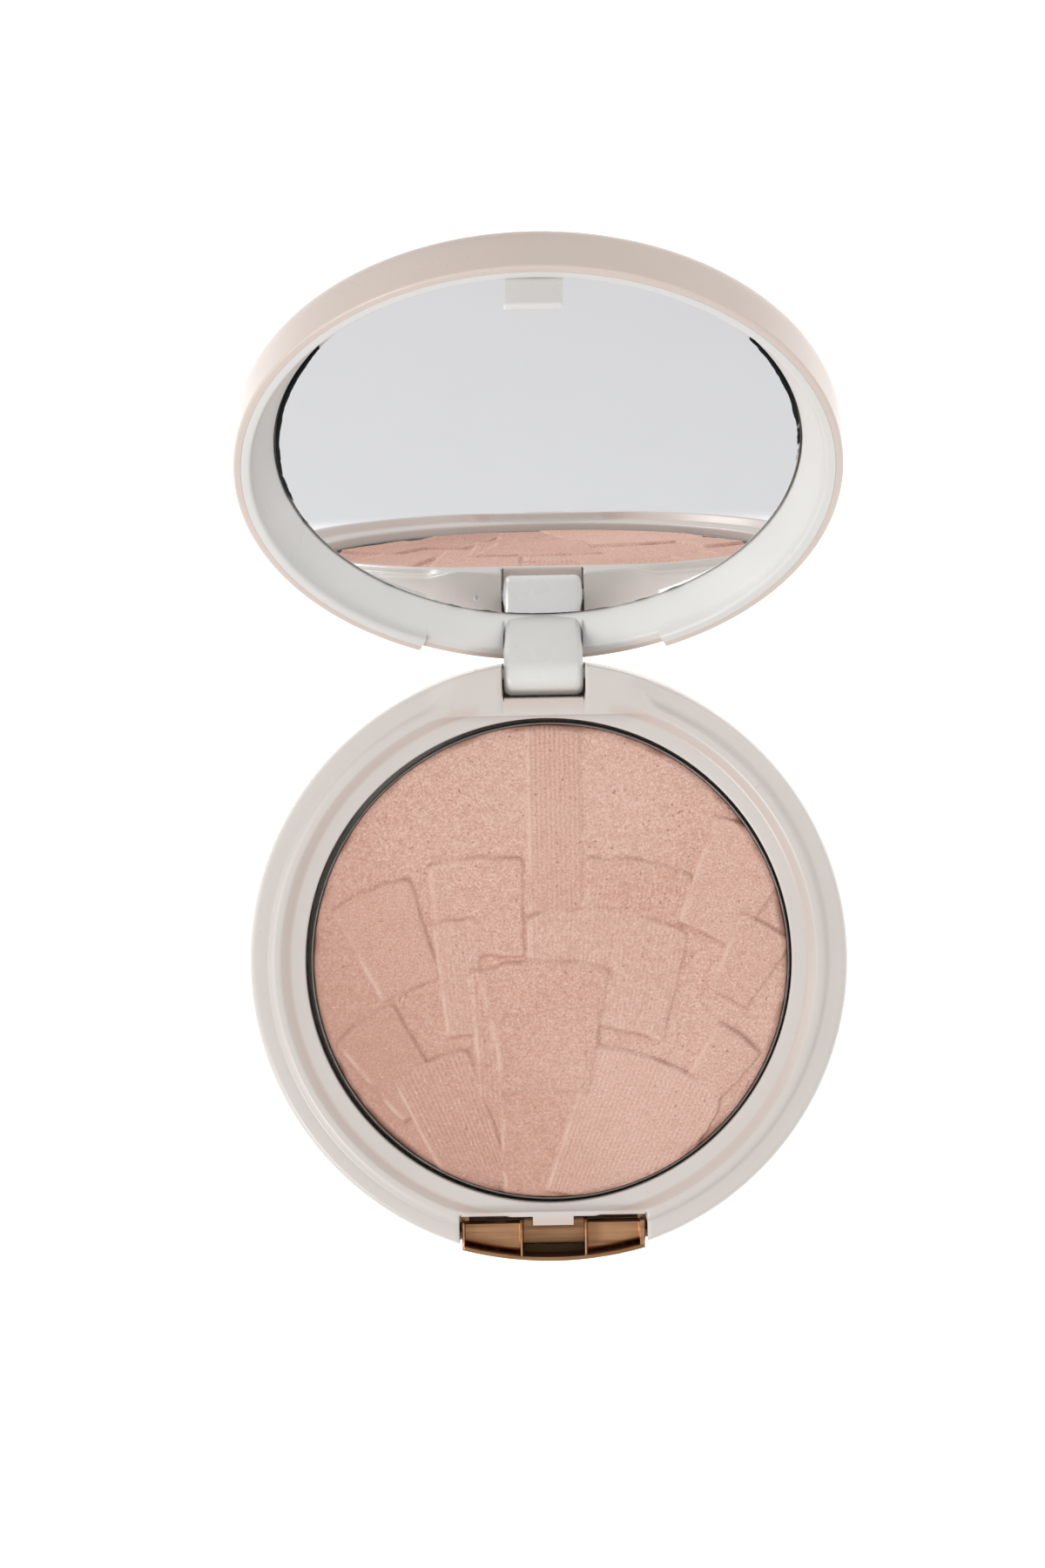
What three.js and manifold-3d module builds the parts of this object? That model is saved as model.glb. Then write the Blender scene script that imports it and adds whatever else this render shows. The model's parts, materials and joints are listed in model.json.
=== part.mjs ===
// A round powder compact, lying open: a base with a pressed-powder pan, a lid with a mirror,
// a steel hinge pin at the back and a sprung push button at the front.
// Millimetres. X to the right, Y to the hinge at the back, Z up from the base's flat underside.

import * as THREE from 'three';
import { mergeVertices } from 'three/addons/utils/BufferGeometryUtils.js';
import Module from 'manifold-3d';

const wasm = await Module();
wasm.setup();

// ---- driving dimensions ----
const CASE_RADIUS = 36.2; // outside of the base
const PAN_HOLE_RADIUS = 29.6; // well that takes a 58 mm pan
const SEAT_Z = 9.5; // ledge that the closed lid rests on
const DECK_Z = 10.3; // top of the raised bead, the hinge block and the catch
const BEAD_RADIUS = 33.3; // outside of the raised bead, inside the shut lid's rim
const PARTING_Z = 3.5; // joint line between bottom cup and base frame
const ROUND_STEPS = 80; // sides of a full turn
const EASE = 0.1; // gap between touching pieces

const HINGE_Y = 34.6;
const HINGE_Z = 7.15;
const OPEN_ANGLE = 132; // degrees from shut to the open stop
const PIN_RADIUS = 0.75;
const KNUCKLE_RADIUS = 2.5;
const KNUCKLE_HALF_WIDTH = 4.8;
const HINGE_BLOCK_HALF_WIDTH = 14.5;

const LID_RADIUS = 36;
const LID_HEIGHT = 6.6;
const LID_RIM_Z = SEAT_Z + EASE;
const LID_TOP_Z = LID_RIM_Z + LID_HEIGHT;
const LID_INNER_RADIUS = 35; // joint between lid cover and lid frame
const MIRROR_RADIUS = 31;
const MIRROR_FACE_Z = SEAT_Z + 4.35;
const MIRROR_THICKNESS = 1;

const BUTTON_HALF_WIDTH = 11.1;
const BUTTON_NOTCH_HALF_WIDTH = 11.4;
const BUTTON_BACK_Y = -31.7;
const BUTTON_FRONT_Y = -36.6;
const BUTTON_FRONT_RADIUS = 42;
const BUTTON_BOTTOM_Z = 3.8;
const BUTTON_TOP_Z = 9.2;
const DECK_FRONT_Y = -30.8; // the deck ends here, which leaves 0.9 mm of slit for the 0.7 mm press

// ---- materials ----
const makeFinish = (color, roughness, metalness) =>
  new THREE.MeshStandardMaterial({ color, roughness, metalness });
const FINISH = {
  shell: () => makeFinish(0xdbd0c9, 0.38, 0),
  frame: () => makeFinish(0xd6cbc8, 0.35, 0),
  lidFrame: () => makeFinish(0xd2d2cc, 0.35, 0),
  mirror: () => makeFinish(0xd9d9dc, 0.03, 1),
  button: () => makeFinish(0xa0785a, 0.25, 0.9),
  pan: () => makeFinish(0xc9c8c6, 0.35, 1),
  steel: () => makeFinish(0xb9b9bb, 0.3, 1),
  powder: () => makeFinish(0xd6aa99, 0.95, 0),
  adhesive: () => makeFinish(0xe8e4d8, 0.8, 0),
};

// ---- geometry helpers ----

/** The points of an arc, by its centre, radius and two angles in degrees. */
function arc(x, y, radius, from, to, steps = 5) {
  return Array.from({ length: steps + 1 }, (_, i) => {
    const angle = THREE.MathUtils.degToRad(from + ((to - from) * i) / steps);
    return [x + radius * Math.cos(angle), y + radius * Math.sin(angle)];
  });
}

/** A solid of revolution about Z. The [radius, z] points run anticlockwise. */
function lathe(points) {
  const profile = points.map(([radius, z]) => new THREE.Vector2(radius, z));
  return new THREE.LatheGeometry(profile, ROUND_STEPS).rotateX(Math.PI / 2);
}

/** A closed outline of [x, y] points, extruded from one height to another. */
function prism(points, bottom, top) {
  const outline = new THREE.Shape(points.map(([x, y]) => new THREE.Vector2(x, y)));
  const geometry = new THREE.ExtrudeGeometry(outline, { depth: top - bottom, bevelEnabled: false });
  return geometry.translate(0, 0, bottom);
}

/** A closed outline of [y, z] points, extruded along X. */
function sideProfile(points, left, right) {
  const turn = new THREE.Matrix4().set(0, 0, 1, 0, 1, 0, 0, 0, 0, 1, 0, 0, 0, 0, 0, 1);
  return prism(points, left, right).applyMatrix4(turn);
}

function box([x0, x1], [y0, y1], [z0, z1]) {
  const geometry = new THREE.BoxGeometry(x1 - x0, y1 - y0, z1 - z0);
  return geometry.translate((x0 + x1) / 2, (y0 + y1) / 2, (z0 + z1) / 2);
}

/** A rod along the hinge axis. */
function hingeRod(radius, left, right, steps = 24) {
  const geometry = new THREE.CylinderGeometry(radius, radius, right - left, steps);
  return geometry.rotateZ(Math.PI / 2).translate((left + right) / 2, HINGE_Y, HINGE_Z);
}

function disc(radius, bottom, top) {
  return lathe([[0, bottom], [radius, bottom], [radius, top], [0, top]]);
}

/** Turns a closed geometry into a manifold solid for joining and cutting. */
function solid(geometry) {
  geometry.deleteAttribute('normal');
  geometry.deleteAttribute('uv');
  const merged = mergeVertices(geometry, 1e-4);
  const index = merged.index.array;
  const kept = [];
  for (let i = 0; i < index.length; i += 3) {
    const [a, b, c] = index.slice(i, i + 3);
    if (a !== b && b !== c && c !== a) kept.push(a, b, c);
  }
  return new wasm.Manifold(new wasm.Mesh({
    numProp: 3,
    vertProperties: merged.attributes.position.array,
    triVerts: new Uint32Array(kept),
  }));
}

/** Turns a manifold solid back into a three.js geometry. */
function geometryOf(manifold) {
  const mesh = manifold.getMesh();
  const geometry = new THREE.BufferGeometry();
  geometry.setAttribute('position', new THREE.BufferAttribute(mesh.vertProperties, 3));
  geometry.setIndex(new THREE.BufferAttribute(mesh.triVerts, 1));
  geometry.computeVertexNormals();
  return geometry;
}

function addMesh(parent, name, geometry, material) {
  const mesh = new THREE.Mesh(geometry, material);
  mesh.name = name;
  parent.add(mesh);
}

// ---- base ----

/** The dish that forms the underside and the lower side wall. */
function bottomCup() {
  const edge = 1.6;
  const wallInside = CASE_RADIUS - 1;
  const floorTop = 1.3;
  const rim = PARTING_Z - EASE;
  return lathe([
    [0, 0], ...arc(CASE_RADIUS - edge, edge, edge, -90, 0), [CASE_RADIUS, rim],
    [wallInside, rim], [wallInside, floorTop], [0, floorTop],
  ]);
}

/** Revolved part of the base frame: side wall, seat, bead, sloping band, shelf and pan well. */
function frameRing() {
  const wellFloor = 3.9;
  const wellUnderside = 2.9;
  const shoulder = 1.4;
  const ribFoot = 1.35;
  return lathe([
    [0, wellUnderside], [24, wellUnderside], [24, ribFoot], [25.2, ribFoot],
    [25.2, wellUnderside], [30.6, wellUnderside], [30.6, 7.8], [34.4, 7.8],
    [34.4, 2], [35.1, 2], [35.1, PARTING_Z], [CASE_RADIUS, PARTING_Z],
    ...arc(CASE_RADIUS - shoulder, SEAT_Z - shoulder, shoulder, 0, 90, 6),
    [BEAD_RADIUS + 0.3, SEAT_Z], ...arc(BEAD_RADIUS - 0.3, DECK_Z - 0.3, 0.3, 0, 90, 3),
    [32.7, DECK_Z], [32.4, DECK_Z - 0.15], [31.3, SEAT_Z], [31, SEAT_Z - 0.1],
    ...arc(PAN_HOLE_RADIUS + 0.3, SEAT_Z - 0.4, 0.3, 90, 180, 3),
    [PAN_HOLE_RADIUS, wellFloor], [0, wellFloor],
  ]);
}

/** Raised block at the back, barrel-shaped about the hinge so that the lid's rim swings clear. */
function hingeBlock() {
  const barrel = arc(HINGE_Y, HINGE_Z, DECK_Z - HINGE_Z, 0, 90, 10);
  const profile = [[29.7, 7.9], [31, 7.9], [31, PARTING_Z], [37.7, PARTING_Z], ...barrel, [29.7, DECK_Z]];
  const bar = solid(sideProfile(profile, -HINGE_BLOCK_HALF_WIDTH, HINGE_BLOCK_HALF_WIDTH));
  return bar.intersect(solid(disc(CASE_RADIUS, 0, DECK_Z + 1)));
}

/** The base frame, with its hinge block, hinge notch, pin hole, button notch and catch tab. */
function baseFrame() {
  const notchFloorY = HINGE_Y - KNUCKLE_RADIUS - 0.25;
  const notchHalfWidth = KNUCKLE_HALF_WIDTH + 0.25;
  const fillHalfWidth = 12.4;
  const above = DECK_Z + 1;
  const frontFill = solid(box([-fillHalfWidth, fillHalfWidth], [-33, -30.2], [7.9, DECK_Z]))
    .intersect(solid(disc(BEAD_RADIUS, 0, DECK_Z + 1)));
  const hingeNotch = box([-notchHalfWidth, notchHalfWidth], [notchFloorY, 40], [PARTING_Z, above]);
  const pinHole = hingeRod(PIN_RADIUS + 0.05, -8.7, 16);
  const buttonNotch = box(
    [-BUTTON_NOTCH_HALF_WIDTH, BUTTON_NOTCH_HALF_WIDTH], [-40, DECK_FRONT_Y], [PARTING_Z, above],
  );
  const catchTab = box([-2.45, 2.45], [-32, DECK_FRONT_Y + 0.4], [8.6, DECK_Z]);
  return geometryOf(
    solid(frameRing()).add(hingeBlock()).add(frontFill)
      .subtract(solid(hingeNotch)).subtract(solid(pinHole)).subtract(solid(buttonNotch))
      .add(solid(catchTab)),
  );
}

/** Thin metal pan with a rolled-square corner. */
function godet() {
  const radius = 29;
  const wall = 0.35;
  const bottom = 4.2;
  const top = 8.6;
  return lathe([
    [0, bottom], ...arc(radius - 0.6, bottom + 0.6, 0.6, -90, 0, 3), [radius, top],
    [radius - wall, top], [radius - wall, bottom + wall], [0, bottom + wall],
  ]);
}

/** Pressed powder, filling the pan to just under its rim. */
function powderCake() {
  const radius = 28.55;
  const bottom = 4.65;
  const top = 8.15;
  return lathe([
    [0, bottom], [radius, bottom], [radius, top - 0.3], [radius - 0.4, top], [0, top],
  ]);
}

/** Bowed steel leaf between the pan well and the back of the button. */
function returnSpring() {
  const bowRadius = 15.6;
  const bowCentreY = -31.55 + bowRadius;
  const halfAngle = 22;
  const leaf = 0.2;
  const outside = arc(0, bowCentreY, bowRadius, -90 - halfAngle, -90 + halfAngle, 10);
  const inside = arc(0, bowCentreY, bowRadius - leaf, -90 + halfAngle, -90 - halfAngle, 10);
  return prism([...outside, ...inside], 4, 5.8);
}

// ---- push button ----

/** The button's outline at its widest, with the bowed front. */
function buttonBlock() {
  const halfAngle = THREE.MathUtils.radToDeg(Math.asin(BUTTON_HALF_WIDTH / BUTTON_FRONT_RADIUS));
  const centreY = BUTTON_FRONT_Y + BUTTON_FRONT_RADIUS;
  const front = arc(0, centreY, BUTTON_FRONT_RADIUS, -90 - halfAngle, -90 + halfAngle, 12);
  const outline = [...front, [BUTTON_HALF_WIDTH, BUTTON_BACK_Y], [-BUTTON_HALF_WIDTH, BUTTON_BACK_Y]];
  return prism(outline, BUTTON_BOTTOM_Z, BUTTON_TOP_Z);
}

/** Space cut out of the button between its two ribs: a ramp, then a deep slot for the lid's hook. */
function hookPocket() {
  const profile = [
    [-35.7, 4.5], [-34.3, 4.5], [-34.1, 5.3], [-32.2, 4.9], [-32.2, 6], [-31, 6], [-31, 10], [-35.7, 10],
  ];
  return sideProfile(profile, -3.7, 3.7);
}

/** The whole button: three open pockets, two thin ribs and a retaining ear at each end. */
function pushButton() {
  const sidePocketFloor = 6.4;
  let button = solid(buttonBlock()).subtract(solid(hookPocket()));
  for (const side of [-1, 1]) {
    const spanX = (a, b) => [Math.min(side * a, side * b), Math.max(side * a, side * b)];
    const pocketOutline = [[4.1, -31], [4.1, -35.6], [10.4, -34.7], [10.4, -31]]
      .map(([x, y]) => [side * x, y]);
    const pocket = prism(side < 0 ? pocketOutline : pocketOutline.reverse(), sidePocketFloor, 10);
    const earRoot = box(spanX(9.8, 11.1), [-33, -31.1], [BUTTON_BOTTOM_Z, sidePocketFloor]);
    const ear = box(spanX(11, 12.2), [-31.9, -31.1], [BUTTON_BOTTOM_Z, sidePocketFloor]);
    button = button.subtract(solid(pocket)).add(solid(earRoot)).add(solid(ear));
  }
  return geometryOf(button);
}

// ---- lid, modelled shut ----

/** Space over the hinge block that the lid's rim is cut back to clear. */
function hingeBlockClearance() {
  const halfWidth = HINGE_BLOCK_HALF_WIDTH + 0.3;
  return box([-halfWidth, halfWidth], [25, 40], [0, DECK_Z + 0.2]);
}

/** Outer skin of the lid: a shallow cap with a rounded edge. */
function lidCover() {
  const edge = 2;
  const wallInside = LID_INNER_RADIUS + EASE;
  const ceiling = LID_TOP_Z - 1.05;
  const crown = 0.15;
  const cap = lathe([
    [wallInside, LID_RIM_Z], ...arc(LID_RADIUS - 0.3, LID_RIM_Z + 0.3, 0.3, -90, 0, 2),
    ...arc(LID_RADIUS - edge, LID_TOP_Z - edge, edge, 0, 90, 6), [0, LID_TOP_Z + crown],
    [0, ceiling], [wallInside, ceiling], [wallInside, LID_RIM_Z],
  ]);
  return geometryOf(solid(cap).subtract(solid(hingeBlockClearance())));
}

/** The hinge knuckle under the lid's back edge, with its arm up into the frame. */
function lidKnuckle() {
  const armTop = MIRROR_FACE_Z - 0.1;
  const span = [-KNUCKLE_HALF_WIDTH, KNUCKLE_HALF_WIDTH];
  const lowArm = box(span, [HINGE_Y - KNUCKLE_RADIUS, 40], [HINGE_Z, DECK_Z + 0.15]);
  const highArm = box(span, [HINGE_Y - KNUCKLE_RADIUS, 34.5], [HINGE_Z, armTop]);
  const limit = disc(CASE_RADIUS - EASE, 0, 20);
  return solid(hingeRod(KNUCKLE_RADIUS, ...span, 40)).add(solid(lowArm)).add(solid(highArm))
    .intersect(solid(limit));
}

/** The latch hook at the lid's front, with its barb towards the catch tab. */
function latchHook() {
  const tip = LID_RIM_Z - 4;
  const profile = [
    [-33.9, tip + 0.5], [-33.6, tip], [-33, tip], [-32.25, tip + 1.2], [-32.25, tip + 1.7],
    [-32.9, tip + 2.3], [-32.9, 12.5], [-33.9, 12.5],
  ];
  return solid(sideProfile(profile, -3.4, 3.4));
}

/** Inner ring of the lid: rim, sloping wall down to the mirror, hinge knuckle and latch hook. */
function lidFrame() {
  const mirrorPocket = MIRROR_RADIUS + 0.25;
  const ceiling = LID_TOP_Z - 1.05 - EASE;
  const ring = lathe([
    [34, LID_RIM_Z], [LID_INNER_RADIUS, LID_RIM_Z], [LID_INNER_RADIUS, ceiling],
    [mirrorPocket, ceiling], [mirrorPocket, MIRROR_FACE_Z - 0.05], [33.8, SEAT_Z + 1.4],
    [34, LID_RIM_Z],
  ]);
  return geometryOf(
    solid(ring).subtract(solid(hingeBlockClearance())).add(lidKnuckle()).add(latchHook())
      .subtract(solid(hingeRod(PIN_RADIUS + 0.1, -6, 6))),
  );
}

/** Round glass mirror with a ground edge. */
function mirror() {
  const back = MIRROR_FACE_Z + MIRROR_THICKNESS;
  return lathe([
    [0, MIRROR_FACE_Z], [MIRROR_RADIUS - 0.25, MIRROR_FACE_Z], [MIRROR_RADIUS, MIRROR_FACE_Z + 0.25],
    [MIRROR_RADIUS, back], [0, back],
  ]);
}

// ---- assembly ----

function buildBase() {
  const base = new THREE.Group();
  addMesh(base, 'bottom_cup', bottomCup(), FINISH.shell());
  addMesh(base, 'base_frame', baseFrame(), FINISH.frame());
  addMesh(base, 'godet', godet(), FINISH.pan());
  addMesh(base, 'powder_cake', powderCake(), FINISH.powder());
  addMesh(base, 'godet_adhesive', disc(12, 3.95, 4.15), FINISH.adhesive());
  addMesh(base, 'hinge_pin', hingeRod(PIN_RADIUS, -8.4, 7.8), FINISH.steel());
  addMesh(base, 'return_spring', returnSpring(), FINISH.steel());
  return base;
}

/** The lid's pieces are shaped shut and turned about the hinge axis to the open stop. */
function buildLid() {
  const lid = new THREE.Group();
  const mirrorBack = MIRROR_FACE_Z + MIRROR_THICKNESS;
  const shut = new THREE.Group();
  shut.position.set(0, -HINGE_Y, -HINGE_Z);
  addMesh(shut, 'lid_cover', lidCover(), FINISH.shell());
  addMesh(shut, 'lid_frame', lidFrame(), FINISH.lidFrame());
  addMesh(shut, 'mirror', mirror(), FINISH.mirror());
  addMesh(shut, 'mirror_adhesive', disc(28, mirrorBack + 0.05, mirrorBack + 0.2), FINISH.adhesive());
  lid.add(shut);
  lid.position.set(0, HINGE_Y, HINGE_Z);
  lid.rotation.x = THREE.MathUtils.degToRad(-OPEN_ANGLE);
  return lid;
}

const compact = new THREE.Group();
compact.add(buildBase(), buildLid());
addMesh(compact, 'push_button', pushButton(), FINISH.button());

export default compact;
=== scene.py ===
"""Looks of a round powder compact that lies open: finished surfaces, materials, light and camera."""

import json
import logging
import math
from dataclasses import dataclass
from enum import Enum

import bmesh
import bpy
import numpy as np
from mathutils import Matrix, Vector


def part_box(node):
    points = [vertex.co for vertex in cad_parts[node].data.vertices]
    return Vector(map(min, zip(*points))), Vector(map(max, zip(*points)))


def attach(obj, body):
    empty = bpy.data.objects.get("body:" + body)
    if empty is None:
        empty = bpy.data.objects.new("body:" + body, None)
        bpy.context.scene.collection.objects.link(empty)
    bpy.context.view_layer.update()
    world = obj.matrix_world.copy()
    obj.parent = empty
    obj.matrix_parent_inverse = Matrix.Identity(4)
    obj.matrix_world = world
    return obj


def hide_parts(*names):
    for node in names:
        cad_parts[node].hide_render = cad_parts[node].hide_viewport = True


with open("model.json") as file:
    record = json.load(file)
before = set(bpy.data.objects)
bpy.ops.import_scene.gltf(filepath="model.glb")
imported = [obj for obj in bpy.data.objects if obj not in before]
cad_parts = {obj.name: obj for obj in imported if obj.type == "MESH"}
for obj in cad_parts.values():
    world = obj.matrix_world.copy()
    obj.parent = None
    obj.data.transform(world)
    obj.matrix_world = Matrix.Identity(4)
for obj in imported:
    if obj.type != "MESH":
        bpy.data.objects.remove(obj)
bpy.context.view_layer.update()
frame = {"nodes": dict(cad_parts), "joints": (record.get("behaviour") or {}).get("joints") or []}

LOG = logging.getLogger("powder_compact")
MM = 0.001
ROUND_STEPS = 256
MERGE_DISTANCE = 2e-7

Tree, Node, Socket = bpy.types.NodeTree, bpy.types.Node, bpy.types.NodeSocket
Material = bpy.types.Material
Pair = tuple[float, float]
Place = tuple[float, float, float]
Colour = tuple[float, float, float, float]


class Body(Enum):
    """The bodies that pieces ride on."""

    BASE = "base"
    LID = "lid"
    BUTTON = "button"


class Slot(Enum):
    """The record's material slots."""

    SHELL = "shell_plastic"
    LID_FRAME = "lid_frame_plastic"
    BUTTON = "button_metallised"
    PAN = "pan_metal"
    STEEL = "steel"
    MIRROR = "mirror_glass"
    POWDER = "pressed_powder"


# ---------------------------------------------------------------- sizes read from the frame


def node_box(node: str) -> tuple[np.ndarray, np.ndarray]:
    """Gives a CAD node's lowest and highest corners at rest.

    Args:
        node: name of the node.

    Returns:
        The two corners, in millimetres.
    """
    low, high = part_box(node)
    return np.array(low) / MM, np.array(high) / MM


@dataclass(frozen=True)
class Hinge:
    """The lid's axis, and its angle from shut to the open stop."""

    y: float
    z: float
    angle: float

    @classmethod
    def from_frame(cls) -> "Hinge":
        """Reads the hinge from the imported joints."""
        joint = next(j for j in frame["joints"] if j["name"] == "lid_hinge")
        return cls(joint["pos_m"][1] / MM, joint["pos_m"][2] / MM, math.radians(joint["range_deg"][1]))

    def opened(self, points: np.ndarray) -> np.ndarray:
        """Turns points of the shut lid about the hinge axis to the open stop.

        Args:
            points: array of points, in millimetres, of the lid when shut.

        Returns:
            The same points on the open lid.
        """
        y, z = points[:, 1] - self.y, points[:, 2] - self.z
        c, s = math.cos(self.angle), math.sin(self.angle)
        return np.column_stack([points[:, 0], self.y + y * c + z * s, self.z - y * s + z * c])


HINGE = Hinge.from_frame()
CASE_RADIUS = float(node_box("bottom_cup")[1][0])
PARTING_Z = float(node_box("bottom_cup")[1][2])
DECK_Z = float(node_box("base_frame")[1][2])
SEAT_DEPTH, LID_GAP, MIRROR_RISE = 0.8, 0.1, 4.35
SEAT_Z = DECK_Z - SEAT_DEPTH
LID_RADIUS = float(node_box("lid_cover")[1][0])
LID_RIM_Z = SEAT_Z + LID_GAP
MIRROR_RADIUS = float(node_box("mirror")[1][0])
MIRROR_FACE_Z = SEAT_Z + MIRROR_RISE
PAN_HOLE_RADIUS = 29.42
BLOCK_HALF_WIDTH = 14.5
KNUCKLE_HALF_WIDTH = 4.8


# ---------------------------------------------------------------- surfaces


@dataclass
class Surface:
    """A closed surface: its points in millimetres and its faces as lists of point numbers."""

    points: np.ndarray
    faces: list[list[int]]

    def joined(self, other: "Surface") -> "Surface":
        """Gives this surface and another one as a single surface."""
        shifted = [[i + len(self.points) for i in face] for face in other.faces]
        return Surface(np.vstack([self.points, other.points]), self.faces + shifted)

    def on_open_lid(self) -> "Surface":
        """Gives the surface turned with the lid to the open stop."""
        return Surface(HINGE.opened(self.points), self.faces)


def rounded(corners: np.ndarray, reach: list[float], steps: int = 4) -> np.ndarray:
    """Rounds the corners of many profiles at once.

    Each corner P becomes the quadratic curve from A to B with control point P, where A and B lie on
    the two sides, a reach away from P. One more row on either side holds the flats flat.

    Args:
        corners: array (corner, column, 2) of radius and height.
        reach: how far the rounding of each corner reaches along its sides.
        steps: spans of each curve.

    Returns:
        Array (row, column, 2) with steps + 3 rows for each corner.
    """
    wanted = np.asarray(reach)[:, None, None]
    longest, hold_reach, hold_share = 0.48, 1.5, 0.98

    def along(other: np.ndarray, share: float) -> np.ndarray:
        """Finds the points on the sides towards other corners, at a share of the reach.

        Args:
            other: the corners at the sides' far ends.
            share: the share of the reach.

        Returns:
            The points, shaped like the corners.
        """
        side = other - corners
        length = np.maximum(np.linalg.norm(side, axis=2, keepdims=True), 1e-9)
        return corners + side / length * np.minimum(wanted * share, longest * length * min(share, 1.0))

    before, after = np.roll(corners, 1, axis=0), np.roll(corners, -1, axis=0)
    start, end = along(before, 1.0), along(after, 1.0)
    t = np.linspace(0, 1, steps + 1)[None, :, None, None]
    curve = (1 - t) ** 2 * start[:, None] + 2 * t * (1 - t) * corners[:, None] + t**2 * end[:, None]
    hold_in = start + (along(before, hold_reach) - start) * hold_share
    hold_out = end + (along(after, hold_reach) - end) * hold_share
    rows = np.concatenate([hold_in[:, None], curve, hold_out[:, None]], axis=1)
    return rows.reshape(-1, *corners.shape[1:])


def grid_faces(rows: int, columns: int, wrap_rows: bool) -> np.ndarray:
    """Numbers the quads of a grid whose columns wrap round.

    Args:
        rows: number of rows.
        columns: number of columns.
        wrap_rows: whether the last row joins the first.

    Returns:
        Array (row, column, 4) of point numbers, facing out for a profile that runs anticlockwise.
    """
    i, j = np.meshgrid(np.arange(rows if wrap_rows else rows - 1), np.arange(columns), indexing="ij")
    up, on = (i + 1) % rows, (j + 1) % columns
    return np.stack([i * columns + j, i * columns + on, up * columns + on, up * columns + j], axis=2)


def revolved(corners: list[Pair], reach: list[float]) -> Surface:
    """Turns one profile about Z: x is radius times cosine and y is radius times sine.

    Args:
        corners: (radius, height) points, anticlockwise, from axis to axis.
        reach: rounding of each corner.

    Returns:
        The surface of revolution.
    """
    profile = np.repeat(np.array(corners)[:, None], ROUND_STEPS, axis=1)
    return swept(rounded(profile, reach), np.linspace(0, math.tau, ROUND_STEPS, endpoint=False))


def swept(rows: np.ndarray, angles: np.ndarray, closed: bool = False) -> Surface:
    """Places profiles that change from column to column around Z.

    Args:
        rows: array (row, column, 2) of radius and height.
        angles: each column's angle.
        closed: whether the profiles close on themselves.

    Returns:
        The swept surface.
    """
    radius, height = rows[..., 0], rows[..., 1]
    points = np.stack([radius * np.cos(angles), radius * np.sin(angles), height], axis=2)
    faces = grid_faces(*radius.shape, closed).reshape(-1, 4)
    return Surface(points.reshape(-1, 3), faces.tolist())


def bar(outline: np.ndarray, left: float, right: float, edge: float, steps: int = 4) -> Surface:
    """Carries a convex (y, z) outline along X, with rounded ends.

    Near each end the outline shrinks along its own normals by edge times (1 - cos), while x moves by
    edge times (1 - sin), so that the end edges are quarter rounds. The ends are flat.

    Args:
        outline: array (point, 2), anticlockwise seen from +X.
        left: lowest x.
        right: highest x.
        edge: radius of the end edges.
        steps: spans of each quarter round.

    Returns:
        The closed bar.
    """
    along = np.roll(outline, -1, axis=0) - np.roll(outline, 1, axis=0)
    along /= np.maximum(np.linalg.norm(along, axis=1, keepdims=True), 1e-9)
    outward = np.column_stack([along[:, 1], -along[:, 0]])
    turn = np.linspace(0, math.pi / 2, steps + 1)
    shrink = edge * (1 - np.sin(turn))
    x = np.concatenate([left + edge * (1 - np.cos(turn)), right - edge * (1 - np.cos(turn[::-1]))])
    inset = np.concatenate([shrink, shrink[::-1]])
    yz = outline[None] - outward[None] * inset[:, None, None]
    points = np.concatenate([np.broadcast_to(x[:, None, None], (*yz.shape[:2], 1)), yz], axis=2)
    count = len(outline)
    faces = grid_faces(len(x), count, False)[..., ::-1].reshape(-1, 4).tolist()
    ends = [list(range(count))[::-1], [(len(x) - 1) * count + k for k in range(count)]]
    return Surface(points.reshape(-1, 3), faces + ends)


def round_outline(corners: list[Pair], reach: list[float], steps: int = 6) -> np.ndarray:
    """Rounds a closed (y, z) outline and drops points that coincide.

    Args:
        corners: corner points, anticlockwise.
        reach: rounding of each corner.
        steps: spans of each corner's curve.

    Returns:
        Array (point, 2).
    """
    points = rounded(np.array(corners)[:, None], reach, steps)[:, 0]
    gap, smallest = np.linalg.norm(points - np.roll(points, 1, axis=0), axis=1), 1e-4
    return points[gap > smallest]


def open_quads(number: np.ndarray) -> np.ndarray:
    """Gives the quads of a grid of point numbers, facing up where rows run along Y and columns along X."""
    corners = [number[:-1, :-1], number[:-1, 1:], number[1:, 1:], number[1:, :-1]]
    return np.stack(corners, axis=2).reshape(-1, 4)


def capped_relief(top: np.ndarray, bottom: float) -> Surface:
    """Closes a rectangular grid of top points with walls and a flat underside.

    Args:
        top: array (row, column, 3); rows run towards +Y and columns towards +X.
        bottom: height of the underside.

    Returns:
        The closed body.
    """
    rows, columns = top.shape[:2]
    number = np.arange(rows * columns).reshape(rows, columns)
    rim = np.concatenate([number[0, :-1], number[:-1, -1], number[-1, :0:-1], number[:0:-1, 0]])
    foot = top.reshape(-1, 3)[rim].copy()
    foot[:, 2] = bottom
    low = np.arange(len(rim)) + rows * columns
    walls = np.column_stack([low, np.roll(low, -1), np.roll(rim, -1), rim])
    faces = open_quads(number).tolist() + walls.tolist() + [low[::-1].tolist()]
    return Surface(np.vstack([top.reshape(-1, 3), foot]), faces)


def smooth_step(x: np.ndarray, low: float, high: float) -> np.ndarray:
    """Rises from 0 at low to 1 at high along the cubic 3t squared minus 2t cubed."""
    t = np.clip((x - low) / (high - low), 0, 1)
    return t * t * (3 - 2 * t)


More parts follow.
